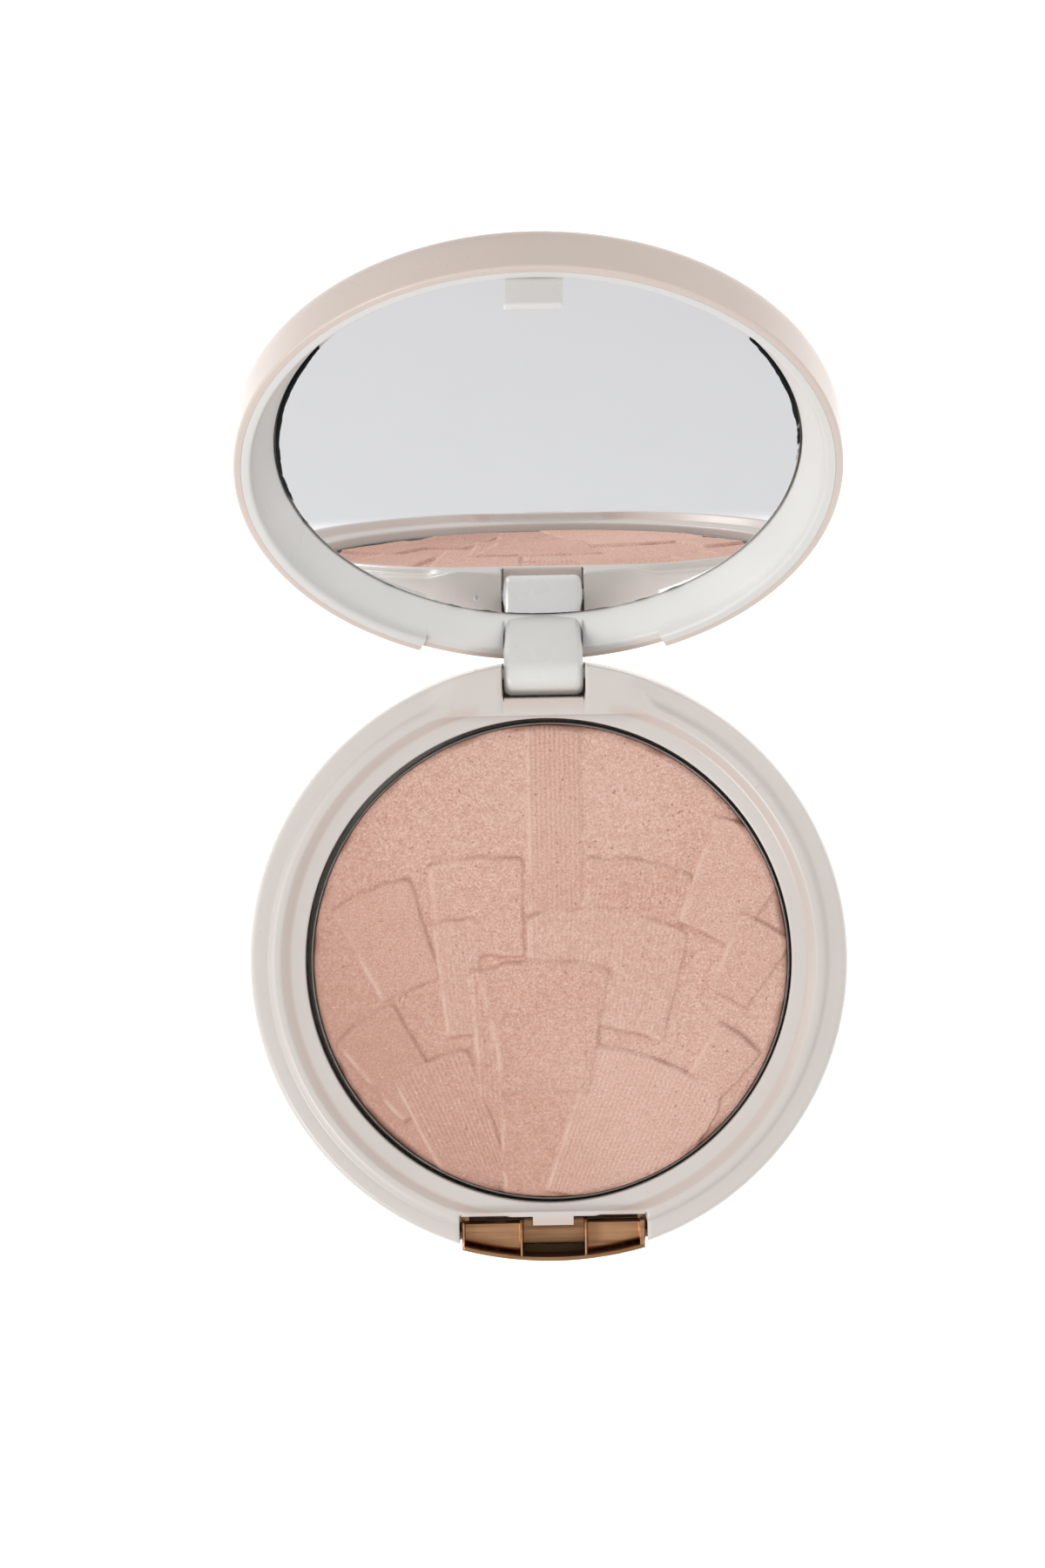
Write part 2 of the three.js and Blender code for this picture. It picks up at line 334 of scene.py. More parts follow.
def make_piece(
    name: str,
    surface: Surface,
    material: Material,
    body: Body,
    replaced: list[str],
    crease: float = 40,
    attributes: dict[str, np.ndarray] | None = None,
) -> None:
    """Makes a finished object of a surface and ties it to the frame.

    Args:
        name: name of the object.
        surface: the closed surface, in millimetres.
        material: its finish.
        body: the body that it rides on.
        replaced: CAD nodes that it stands for.
        crease: edges sharper than this many degrees stay sharp.
        attributes: values for each point, by name, which the material reads.
    """
    mesh = bpy.data.meshes.new(name)
    mesh.from_pydata(surface.points * MM, [], surface.faces)
    for key, values in (attributes or {}).items():
        mesh.attributes.new(key, "FLOAT", "POINT").data.foreach_set("value", values.astype(np.float32))
    work = bmesh.new()
    work.from_mesh(mesh)
    bmesh.ops.remove_doubles(work, verts=work.verts, dist=MERGE_DISTANCE)
    bmesh.ops.dissolve_degenerate(work, edges=work.edges, dist=MERGE_DISTANCE)
    work.to_mesh(mesh)
    work.free()
    mesh.shade_smooth()
    mesh.set_sharp_from_angle(angle=math.radians(crease))
    mesh.materials.append(material)
    piece = bpy.data.objects.new(name, mesh)
    bpy.context.scene.collection.objects.link(piece)
    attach(piece, body.value)
    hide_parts(*replaced)
    LOG.info("%s: %d faces on %s", name, len(mesh.polygons), body.value)


# ---------------------------------------------------------------- shader helpers


def add_node(tree: Tree, kind: str, values: dict[str | int, object] | None = None,
             **settings: object) -> Node:
    """Adds a shader node.

    Args:
        tree: the tree to add it to.
        kind: the node's type name after ShaderNode.
        values: input values, or sockets to link from, by input name or number.
        **settings: properties of the node.

    Returns:
        The node.
    """
    node = tree.nodes.new("ShaderNode" + kind)
    for key, value in settings.items():
        setattr(node, key, value)
    for key, value in (values or {}).items():
        if isinstance(value, Socket):
            tree.links.new(value, node.inputs[key])
        else:
            node.inputs[key].default_value = value
    return node


def noise(tree: Tree, place: Socket, scale: float | Socket, detail: float, **more: float) -> Socket:
    """Adds a noise texture.

    Args:
        tree: the tree to add it to.
        place: the coordinates, in metres.
        scale: waves in a metre, or a socket.
        detail: octaves of finer waves.
        **more: other input values.

    Returns:
        Its value, about 0.5 in the middle.
    """
    values = {"Vector": place, "Scale": scale, "Detail": detail, **more}
    return add_node(tree, "TexNoise", values).outputs["Fac"]


def mask(tree: Tree, name: str) -> Socket:
    """Reads a value that the piece's points carry."""
    return add_node(tree, "Attribute", attribute_name=name).outputs["Fac"]


def ramp(tree: Tree, source: Socket, low: float, high: float, bottom: float = 0.0,
         top: float = 1.0) -> Socket:
    """Maps a value from one range to another, clamped.

    Args:
        tree: the tree to add the node to.
        source: the value.
        low: value that gives bottom.
        high: value that gives top.
        bottom: result at low.
        top: result at high.

    Returns:
        The mapped value.
    """
    node = add_node(tree, "MapRange", {"Value": source, "From Min": low, "From Max": high,
                                       "To Min": bottom, "To Max": top})
    return node.outputs["Result"]


def blend_colour(tree: Tree, share: Socket, first: Colour | Socket, second: Colour | Socket) -> Socket:
    """Mixes two colours.

    Args:
        tree: the tree to add the node to.
        share: share of the second colour.
        first: a colour or a socket.
        second: a colour or a socket.

    Returns:
        The mixed colour.
    """
    node = add_node(tree, "Mix", data_type="RGBA")
    for key, value in ((0, share), (6, first), (7, second)):
        if isinstance(value, Socket):
            tree.links.new(value, node.inputs[key])
        else:
            node.inputs[key].default_value = value
    return node.outputs[2]


def new_group(name: str, inputs: dict[str, float],
              outputs: list[str]) -> tuple[Tree, Node, Node, Socket]:
    """Starts a shader node group of float sockets that reads object coordinates.

    Args:
        name: the group's name.
        inputs: default value of each input.
        outputs: names of the outputs.

    Returns:
        The tree, its input node, its output node and the object coordinates.
    """
    tree = bpy.data.node_groups.new(name, "ShaderNodeTree")
    for key, value in inputs.items():
        socket = tree.interface.new_socket(name=key, in_out="INPUT", socket_type="NodeSocketFloat")
        socket.default_value = value
    for key in outputs:
        tree.interface.new_socket(name=key, in_out="OUTPUT", socket_type="NodeSocketFloat")
    place = add_node(tree, "TexCoord").outputs["Object"]
    return tree, tree.nodes.new("NodeGroupInput"), tree.nodes.new("NodeGroupOutput"), place


def moulded_grain_group() -> Tree:
    """Builds the group for moulded surfaces: fine grain height and slow mottling.

    Returns:
        The group, with outputs Height and Mottle from 0 to 1.
    """
    tree, start, end, place = new_group("moulded_grain", {"Grain Scale": 3000, "Mottle Scale": 60},
                                        ["Height", "Mottle"])
    tree.links.new(noise(tree, place, start.outputs["Grain Scale"], 3), end.inputs["Height"])
    slow = noise(tree, place, start.outputs["Mottle Scale"], 4)
    tree.links.new(ramp(tree, slow, 0.3, 0.7), end.inputs["Mottle"])
    return tree


def powder_dust_group() -> Tree:
    """Builds the group for loose powder grains: sparse small spots, gathered in patches.

    Returns:
        The group, with output Mask from 0 to 1.
    """
    tree, start, end, place = new_group("powder_dust", {"Spot Scale": 1800, "Cover": 0.5}, ["Mask"])
    spots = noise(tree, place, start.outputs["Spot Scale"], 2)
    patches = noise(tree, place, 140, 2)
    dense = add_node(tree, "Math", {0: ramp(tree, patches, 0.4, 0.7), 1: start.outputs["Cover"]},
                     operation="MULTIPLY")
    grain = add_node(tree, "Math", {0: ramp(tree, spots, 0.66, 0.74), 1: dense.outputs[0]},
                     operation="MULTIPLY")
    tree.links.new(grain.outputs[0], end.inputs["Mask"])
    return tree


def handling_group() -> Tree:
    """Builds the group for handled glossy surfaces: faint smears and hairline scratches.

    Returns:
        The group, with outputs Smear and Scratch from 0 to 1.
    """
    tree, _, end, place = new_group("handling_marks", {}, ["Smear", "Scratch"])
    cloud = noise(tree, place, 90, 5, Distortion=1.2)
    stretched = add_node(tree, "Mapping", {"Vector": place, "Rotation": (0.2, 0.3, 0.5),
                                           "Scale": (60, 2600, 900)})
    hair = noise(tree, stretched.outputs[0], 1, 2)
    tree.links.new(ramp(tree, cloud, 0.45, 0.75), end.inputs["Smear"])
    tree.links.new(ramp(tree, hair, 0.62, 0.75), end.inputs["Scratch"])
    return tree


@dataclass(frozen=True)
class Effects:
    """The shared shader node groups."""

    grain: Tree
    dust: Tree
    handling: Tree

    @classmethod
    def built(cls) -> "Effects":
        """Builds every group once."""
        return cls(moulded_grain_group(), powder_dust_group(), handling_group())


def place_group(tree: Tree, group: Tree, values: dict[str, float] | None = None) -> Node:
    """Places a shared group in a material.

    Args:
        tree: the material's tree.
        group: the shared group.
        values: its input values.

    Returns:
        The group node.
    """
    node = tree.nodes.new("ShaderNodeGroup")
    node.node_tree = group
    for key, value in (values or {}).items():
        node.inputs[key].default_value = value
    return node


def new_material(name: str) -> tuple[Material, Tree, Node]:
    """Starts a material.

    Args:
        name: its name.

    Returns:
        The material, its tree and its Principled BSDF.
    """
    material = bpy.data.materials.new(name)
    material.use_nodes = True
    return material, material.node_tree, material.node_tree.nodes["Principled BSDF"]


def set_bump(tree: Tree, shader: Node, height: Socket, strength: float, distance: float) -> None:
    """Feeds a height into a shader's normal.

    Args:
        tree: the material's tree.
        shader: the Principled BSDF.
        height: the height, from 0 to 1.
        strength: share of the effect.
        distance: height of 1, in metres.
    """
    bump = add_node(tree, "Bump", {"Height": height, "Strength": strength, "Distance": distance})
    tree.links.new(bump.outputs[0], shader.inputs["Normal"])


# ---------------------------------------------------------------- finishes


@dataclass(frozen=True)
class PlasticFinish:
    """Satin moulded plastic with faint mottling, fine grain and loose grains."""

    name: str
    colour: Colour
    shade: Colour
    roughness: float = 0.3
    ior: float = 1.47
    dust: float = 0.3
    # strength of the painted warm shade on the band inside the bead; that shade and the loose grains share
    # the next colour
    band_shade_strength: float = 0.22
    dust_and_shade_colour: Colour = (0.5, 0.27, 0.19, 1)

    def material(self, effects: Effects) -> Material:
        """Builds the material.

        Args:
            effects: the shared groups.

        Returns:
            The material.
        """
        material, tree, shader = new_material(self.name)
        grain = place_group(tree, effects.grain, {"Grain Scale": 2600, "Mottle Scale": 70})
        dust = place_group(tree, effects.dust, {"Cover": self.dust})
        plain = blend_colour(tree, grain.outputs["Mottle"], self.colour, self.shade)
        # painted warm shade on the sunken band inside the bead, where the points mark it
        band_shade_strength = ramp(tree, mask(tree, "painted_band_shade"), 0, 1, 0, self.band_shade_strength)
        plain = blend_colour(tree, band_shade_strength, plain, self.dust_and_shade_colour)
        tree.links.new(blend_colour(tree, dust.outputs["Mask"], plain, self.dust_and_shade_colour),
                       shader.inputs["Base Color"])
        rough = ramp(tree, grain.outputs["Mottle"], 0, 1, self.roughness - 0.04, self.roughness + 0.05)
        tree.links.new(rough, shader.inputs["Roughness"])
        shader.inputs["IOR"].default_value = self.ior
        set_bump(tree, shader, grain.outputs["Height"], 0.25, 0.00002)
        return material


@dataclass(frozen=True)
class MetalFinish:
    """Metal or metallised plastic with smears, hairlines, a fine grain and painted shade where the points
    mark it.
    """

    name: str
    colour: Colour
    shade: Colour
    roughness: float
    grain: float = 0.15
    # colour and strength of the painted shade in pockets and grooves
    pocket_shade_colour: Colour = (0.035, 0.02, 0.012, 1)
    pocket_shade_strength: float = 0.92

    def material(self, effects: Effects) -> Material:
        """Builds the material.

        Args:
            effects: the shared groups.

        Returns:
            The material.
        """
        material, tree, shader = new_material(self.name)
        marks = place_group(tree, effects.handling)
        grain = place_group(tree, effects.grain, {"Grain Scale": 4200, "Mottle Scale": 160})
        brushed = add_node(tree, "Mapping", {"Vector": add_node(tree, "TexCoord").outputs["Object"],
                                             "Scale": (50, 1500, 700)})
        streaks = noise(tree, brushed.outputs[0], 1, 3)
        tone = blend_colour(tree, ramp(tree, grain.outputs["Mottle"], 0, 1, 0, 0.5), self.colour, self.shade)
        tone = blend_colour(tree, ramp(tree, streaks, 0.42, 0.62, 0, 0.75), tone, self.shade)
        # painted shade where the points mark pockets and grooves
        painted_pocket_shade = ramp(tree, mask(tree, "painted_pocket_shade"), 0, 1, 0, self.pocket_shade_strength)
        tree.links.new(blend_colour(tree, painted_pocket_shade, tone, self.pocket_shade_colour), shader.inputs["Base Color"])
        rough = ramp(tree, marks.outputs["Smear"], 0, 1, self.roughness, self.roughness + 0.12)
        tree.links.new(rough, shader.inputs["Roughness"])
        shader.inputs["Metallic"].default_value = 1.0
        set_bump(tree, shader, grain.outputs["Height"], self.grain, 0.00001)
        return material


@dataclass(frozen=True)
class MirrorFinish:
    """Silvered glass: almost sharp, a little grey, with faint smears and bare flakes at its edge."""

    name: str = "mirror_glass"
    colour: Colour = (0.95, 0.95, 0.955, 1)
    shade: Colour = (0.94, 0.94, 0.945, 1)
    bare: Colour = (0.02, 0.022, 0.024, 1)

    def material(self, effects: Effects) -> Material:
        """Builds the material.

        Args:
            effects: the shared groups.

        Returns:
            The material.
        """
        material, tree, shader = new_material(self.name)
        marks = place_group(tree, effects.handling)
        silver = blend_colour(tree, marks.outputs["Smear"], self.colour, self.shade)
        flakes = noise(tree, add_node(tree, "TexCoord").outputs["Object"], 330, 4)
        sum_of = add_node(tree, "Math", {0: mask(tree, "worn"), 1: flakes}, operation="ADD")
        share = ramp(tree, sum_of.outputs[0], 0.96, 1.04)
        tree.links.new(blend_colour(tree, share, silver, self.bare), shader.inputs["Base Color"])
        rough = ramp(tree, marks.outputs["Scratch"], 0, 1, 0.004, 0.03)
        tree.links.new(rough, shader.inputs["Roughness"])
        shader.inputs["Metallic"].default_value = 1.0
        return material


@dataclass(frozen=True)
class PowderFinish:
    """Pressed powder: light and dark grains, painted shade in grooves, at the edge and to the lower left,
    painted highlights on crests.
    """

    name: str = "pressed_powder"
    colour: Colour = (0.603, 0.358, 0.281, 1)
    light: Colour = (0.75, 0.54, 0.45, 1)
    dark: Colour = (0.435, 0.22, 0.163, 1)
    groove: Colour = (0.33, 0.14, 0.095, 1)

    def material(self, effects: Effects) -> Material:
        """Builds the material.

        Args:
            effects: the shared groups.

        Returns:
            The material.
        """
        material, tree, shader = new_material(self.name)
        place = add_node(tree, "TexCoord").outputs["Object"]
        grit = noise(tree, place, 4000, 3, Roughness=0.6)
        coarse, slow = noise(tree, place, 900, 3), noise(tree, place, 45, 3)
        glint, pits = noise(tree, place, 3000, 1), noise(tree, place, 1700, 1)
        turned = add_node(tree, "Mapping", {"Vector": place, "Rotation": (0, 0, math.radians(-35))})
        along = add_node(tree, "SeparateXYZ", {0: turned.outputs[0]}).outputs["X"]
        tint = mask(tree, "tint")
        tone = self.colour
        for source, low, high, most, colour in (
            (grit, 0.5, 0.74, 1, self.light),
            (grit, 0.5, 0.26, 1, self.dark),
            (coarse, 0.5, 0.3, 0.3, self.dark),
            (slow, 0.45, 0.75, 0.2, self.light),
            (pits, 0.3, 0.24, 0.7, self.groove),
            # painted shade: darker towards the lower left, where the rim shades the cake
            (along, -0.004, -0.03, 0.62, self.dark),
            (glint, 0.7, 0.76, 0.6, self.light),
            (tint, 0.4, 1, 0.16, self.light),
            (tint, 0.4, 0, 0.14, self.dark),
            # painted highlights on lit crests, then painted shade in grooves and round the cake's edge
            (mask(tree, "crest"), 0, 1, 0.42, self.light),
            (mask(tree, "groove"), 0, 1, 0.6, self.groove),
        ):
            tone = blend_colour(tree, ramp(tree, source, low, high, 0, most), tone, colour)
        tree.links.new(tone, shader.inputs["Base Color"])
        tree.links.new(ramp(tree, glint, 0.5, 0.75, 0.85, 0.45), shader.inputs["Roughness"])
        grain = place_group(tree, effects.grain, {"Grain Scale": 3300, "Mottle Scale": 300})
        set_bump(tree, shader, grain.outputs["Height"], 0.5, 0.00008)
        return material


@dataclass(frozen=True)
class TapeFinish:
    """Adhesive tape: cream, dull, faintly fibrous."""

    name: str = "adhesive"
    colour: Colour = (0.80, 0.76, 0.66, 1)
    shade: Colour = (0.70, 0.66, 0.56, 1)

    def material(self, effects: Effects) -> Material:
        """Builds the material.

        Args:
            effects: the shared groups.

        Returns:
            The material.
        """
        material, tree, shader = new_material(self.name)
        grain = place_group(tree, effects.grain, {"Grain Scale": 900, "Mottle Scale": 220})
        tree.links.new(blend_colour(tree, grain.outputs["Mottle"], self.colour, self.shade),
                       shader.inputs["Base Color"])
        tree.links.new(ramp(tree, grain.outputs["Height"], 0, 1, 0.7, 0.9), shader.inputs["Roughness"])
        set_bump(tree, shader, grain.outputs["Height"], 0.4, 0.00005)
        return material


# ---------------------------------------------------------------- base


@dataclass
class PlanGrid:
    """Columns around the base whose lines run straight along Y near the hinge and the button.

    Outside the pan hole, a column at the back or front keeps one x, so that walls at a constant x
    lie on a column. Elsewhere the columns are radial, and the two blend in between.
    """

    hole_radius: float
    straight: float = 16.0
    radial: float = 23.0
    spacing: float = 0.62
    edge: float = 0.3
    clearance: float = 0.5
    side_columns: int = 58
    hinge_wall: float = KNUCKLE_HALF_WIDTH + 0.25
    notch_wall: float = 11.4
    tab_wall: float = 2.45

    def __post_init__(self) -> None:
        """Lays out the columns: even ones, and close ones round each wall."""
        half = np.linspace(0, self.radial, round(self.radial / self.spacing))
        back = self._with_walls(half, (self.hinge_wall,))
        front = self._with_walls(half, (self.tab_wall, self.notch_wall))
        back_angles = np.arccos(np.concatenate([-back[:0:-1], back])[::-1] / self.hole_radius)
        front_angles = -np.arccos(np.concatenate([-front[:0:-1], front]) / self.hole_radius)
        limit = math.acos(self.radial / self.hole_radius)
        side = np.linspace(-limit, limit, self.side_columns + 2)[1:-1]
        self.angles = np.concatenate([side, back_angles, side + math.pi, front_angles + math.tau])
        self.x = self.hole_radius * np.cos(self.angles)
        self.weight = 1 - smooth_step(np.abs(self.x), self.straight, self.radial)
        self.is_back = np.sin(self.angles) > 0

    def _with_walls(self, half: np.ndarray, walls: tuple[float, ...]) -> np.ndarray:
        """Puts close columns round each wall and drops the even ones that fall among them.

        Args:
            half: the even columns' x, from the middle outwards.
            walls: each wall's x.

        Returns:
            All the columns' x, in order.
        """
        offsets = np.array([-0.25, 0.0, 0.02, 0.12, self.edge])
        for wall in walls:
            half = half[np.abs(half - wall) > self.clearance]
        return np.sort(np.concatenate([half, *[wall + offsets for wall in walls]]))

    def place(self, rows: np.ndarray) -> np.ndarray:
        """Turns (radius, height) into points: x blends from radius times cosine to the column's own x.

        Args:
            rows: array (row, column, 2).

        Returns:
            Array (row, column, 3).
        """
        radius, height = rows[..., 0], rows[..., 1]
        outside = radius > self.hole_radius
        straight_x = np.broadcast_to(self.x, radius.shape)
        radial_x = radius * np.cos(self.angles)
        x = np.where(outside, self.weight * straight_x + (1 - self.weight) * radial_x, radial_x)
        y = np.sqrt(np.maximum(radius**2 - x**2, 0)) * np.where(self.is_back, 1, -1)
        return np.stack([x, y, height], axis=2)


WALL_CORNERS, TOP_CORNERS, EDGE_CORNER = slice(3, 12), slice(8, 12), 8


@dataclass
class BaseShells:
    """Bottom cup and base frame, with the hinge block, the notches and the catch tab."""

    cup_wall: float = 1.0
    cup_floor: float = 1.3
    cup_rounding: float = 1.7
    well_floor: Pair = (2.9, 3.9)
    well_wall: float = 30.6
    ceiling: float = 7.8
    skirt: Pair = (34.4, 35.1)
    skirt_foot: float = 2.0
    shoulder: float = 34.75
    bead_foot: float = 33.88
    bead_outer: float = 33.25
    bead_inner: float = 32.45
    band_foot: float = 31.3
    back_flat: float = 29.8
    front_flat: float = 30.3
    corner_softness: float = 0.22
    hinge_floor: float = 31.93
    notch_back: float = 30.8
    tab_front: float = 32.0
    tab_underside: float = 8.6
    block_foot: float = 3.5
    block_ramp: float = 4.5
    ledge_half_width: float = 5.4
    ledge: float = 0.14
    edge_drop: float = 0.22
    block_crest: Pair = (33.2, 33.1)
    straight_reach: float = 24.0
    hinge_rows: tuple[float, ...] = (4.5, 5.5, 6.5, 7.5, 8.3, 9, 9.6)
    tab_rows: tuple[float, ...] = (9, 9.3, 9.6, 9.9, 10.1)
    roundings: tuple[float, ...] = (
        0, 0.1, 0.1, 0.1, 0.1, 0.1, 0.1, 0.12, 1.45, 0.3, 0.22, 0.3, 0.2, 0.25, 0.25, 0.3, 0,
    )
    block_rounding: float = 0.3
    steps: int = 5

    def cup(self) -> Surface:
        """Makes the dish that forms the underside, with a rounded foot.

        Returns:
            The closed surface.
        """
        outside, inside, floor = CASE_RADIUS, CASE_RADIUS - self.cup_wall, self.cup_floor
        return revolved(
            [(0, 0), (outside, 0), (outside, PARTING_Z), (inside, PARTING_Z), (inside, floor), (0, floor)],
            [0, self.cup_rounding, 0.12, 0.1, 0.3, 0],
        )

    def _inner_edge(self, grid: PlanGrid) -> tuple[np.ndarray, np.ndarray, np.ndarray]:
        """Finds the radii of the bead's inner edge, of the band's foot and of the hole's lip.

        The bead's inner edge is a circle cut by a straight line near the hinge and near the button:
        the soft minimum, -k log(exp(-a/k) + exp(-b/k)), of the circle's radius a and the line's b.

        Args:
            grid: the columns.

        Returns:
            Three arrays of one radius for each column.
        """
        x, k = np.abs(grid.x), self.corner_softness
        flat = np.where(grid.is_back, self.back_flat, self.front_flat)
        line = np.sqrt(flat**2 + np.minimum(x, self.straight_reach) ** 2)
        bead = -k * np.logaddexp(-self.bead_inner / k, -line / k) + 0.02
        lip = np.full_like(bead, PAN_HOLE_RADIUS)
        foot = np.maximum(np.minimum(self.band_foot, bead - 0.12), lip + 0.03)
        return np.maximum(bead, lip + 0.1), foot, lip

    def _corners(self, grid: PlanGrid) -> np.ndarray:
        """Lays out the seventeen profile corners of every column.

        Args:
            grid: the columns.

        Returns:
            Array (corner, column, 2).
        """
        one = np.ones(len(grid.angles))
        bead, foot, lip = self._inner_edge(grid)
        (under, floor), (inner, outer) = self.well_floor, self.skirt
        plain = [
            (0, under), (self.well_wall, under), (self.well_wall, self.ceiling), (inner, self.ceiling),
            (inner, self.skirt_foot), (outer, self.skirt_foot), (outer, self.block_foot),
            (CASE_RADIUS, self.block_foot), (CASE_RADIUS, SEAT_Z - 0.05), (self.shoulder, SEAT_Z),
            (self.bead_foot, SEAT_Z), (self.bead_outer, DECK_Z), (bead, DECK_Z), (foot, SEAT_Z - 0.15),
            (lip, SEAT_Z - 0.4), (lip, floor), (0, floor),
        ]
        corners = np.array([np.column_stack([r * one, z * one]) for r, z in plain])
        self._raise_hinge_block(grid, corners)
        self._cut_hinge_notch(grid, corners)
        self._cut_button_notch(grid, corners)
        return corners

    def _raise_hinge_block(self, grid: PlanGrid, corners: np.ndarray) -> None:
        """Raises the deck at the back to a block whose outer edge is a barrel about the hinge axis.

        The barrel's height over y is the axis height plus the root of its radius squared minus the
        distance from the axis squared, for y behind the axis.

        Args:
            grid: the columns.
            corners: the profile corners, changed in place.
        """
        block = grid.is_back & (np.abs(grid.x) <= BLOCK_HALF_WIDTH)
        plain = corners[:, block].copy()
        x = grid.x[block]
        barrel = DECK_Z - HINGE.z
        outer = np.sqrt(CASE_RADIUS**2 - x**2)
        crest, top_edge = self.block_crest
        for corner, share in enumerate((1.0, 0.55, 0.12), EDGE_CORNER):
            y = np.minimum(crest + (outer - crest) * share if share < 1 else outer, outer)
            behind = np.maximum(y - HINGE.y, 0)
            corners[corner, block, 0] = np.sqrt(y**2 + x**2)
            corners[corner, block, 1] = HINGE.z + np.sqrt(barrel**2 - behind**2)
        corners[11, block, 0] = np.minimum(top_edge, corners[10, block, 0] - 0.05)
        corners[2:4, block, 1] = self.block_foot
        share = self._block_share(grid)[block][None, :, None]
        corners[:, block] = plain * (1 - share) + corners[:, block] * share

    def _block_share(self, grid: PlanGrid) -> np.ndarray:
        """Gives how far each column has risen from the plain ring to the hinge block, from 0 to 1."""
        inside = BLOCK_HALF_WIDTH - np.abs(grid.x)
        return np.where(grid.is_back, smooth_step(inside, 0, self.block_ramp), 0.0)

    def _soften_wall(self, grid: PlanGrid, corners: np.ndarray, wall: float, zone: np.ndarray) -> None:
        """Lowers the top corners in the columns just outside a notch, so that its top edge is rounded.

        Args:
            grid: the columns.
            corners: the profile corners, changed in place.
            wall: half the width of the notch.
            zone: which columns are at that end of the base.
        """
        distance = np.abs(grid.x) - wall
        near = zone & (distance > -0.001) & (distance < grid.edge)
        drop = self.edge_drop * (1 - np.sqrt(np.clip(distance[near] / grid.edge, 0, 1)))
        corners[TOP_CORNERS, near, 1] -= drop

    def _cut_hinge_notch(self, grid: PlanGrid, corners: np.ndarray) -> None:
        """Ends the columns of the hinge notch at the notch's inner wall.

        Args:
            grid: the columns.
            corners: the profile corners, changed in place.
        """
        self._soften_wall(grid, corners, grid.hinge_wall, grid.is_back)
        notch = grid.is_back & (np.abs(grid.x) < grid.hinge_wall - 0.001)
        rho = np.sqrt(self.hinge_floor**2 + grid.x[notch] ** 2)
        corners[WALL_CORNERS, notch, 0] = rho
        corners[2, notch, 1] = self.block_foot
        heights = np.array([self.block_foot, *self.hinge_rows, DECK_Z])
        corners[WALL_CORNERS, notch, 1] = heights[:, None]

    def _cut_button_notch(self, grid: PlanGrid, corners: np.ndarray) -> None:
        """Ends the columns of the button's notch at the deck's front edge, or at the catch tab's.

        Args:
            grid: the columns.
            corners: the profile corners, changed in place.
        """
        self._soften_wall(grid, corners, grid.notch_wall, ~grid.is_back)
        x = np.abs(grid.x)
        notch = ~grid.is_back & (x < grid.notch_wall - 0.001)
        front = self.notch_back + self.ledge * smooth_step(self.ledge_half_width - x[notch], -0.3, 0.3)
        corners[WALL_CORNERS, notch, 0] = np.sqrt(front**2 + x[notch] ** 2)
        heights = np.array([self.ceiling, self.tab_underside, self.tab_underside, *self.tab_rows, DECK_Z])
        corners[WALL_CORNERS, notch, 1] = heights[:, None]
        tab = notch & (x < grid.tab_wall + 0.001)
        corners[5:12, tab, 0] = np.sqrt(self.tab_front**2 + x[tab] ** 2)

    def frame_surface(self) -> Surface:
        """Makes the base frame: rounded profiles on the plan grid, with flat walls beside the notches.

        Returns:
            The closed surface.
        """
        grid = PlanGrid(PAN_HOLE_RADIUS - 0.001)
        corners = self._corners(grid)
        share = self._block_share(grid)[None, :, None]
        flat_edge = list(self.roundings)
        flat_edge[EDGE_CORNER] = self.block_rounding
        rows = (rounded(corners, list(self.roundings), self.steps) * (1 - share)
                + rounded(corners, flat_edge, self.steps) * share)
        points = grid.place(rows)
        per_corner = self.steps + 3
        faces = grid_faces(len(rows), len(grid.angles), False)
        keep = np.ones(faces.shape[:2], bool)
        low, high = WALL_CORNERS.start * per_corner, WALL_CORNERS.stop * per_corner - 1
        walls = []
        inside = [grid.is_back & (np.abs(grid.x) < grid.hinge_wall - 0.001),
                  ~grid.is_back & (np.abs(grid.x) < grid.notch_wall - 0.001)]
        for zone in inside:
            for j in np.flatnonzero(zone != np.roll(zone, -1)):
                keep[low:high, j] = False
                on = (j + 1) % len(grid.angles)
                span = np.arange(low, high + 1) * len(grid.angles)
                loop = np.concatenate([span[::-1] + j, span + on])
                walls.append(loop.tolist())
        return Surface(points.reshape(-1, 3), faces[keep].tolist() + walls)

    def build(self, plastic: Material) -> None:
        """Builds both shells.

        Args:
            plastic: the shell plastic.
        """
        make_piece("bottom_cup_shell", self.cup(), plastic, Body.BASE, ["bottom_cup"])
        ring = self.frame_surface()
        # Marks the sunken band inside the bead for painted warm shade.
        rho, height = np.hypot(ring.points[:, 0], ring.points[:, 1]), ring.points[:, 2]
        band = smooth_step(rho, self.band_foot - 0.3, self.band_foot)
        band *= smooth_step(-rho, -self.bead_inner, 0.35 - self.bead_inner)
        make_piece("base_frame_shell", ring, plastic, Body.BASE, ["base_frame"], 50,
                   {"painted_band_shade": band * (height > SEAT_Z - 1)})


class Relief(Enum):
    """How a patch of the powder is embossed."""

    SMOOTH = 0
    RIBBED = 1


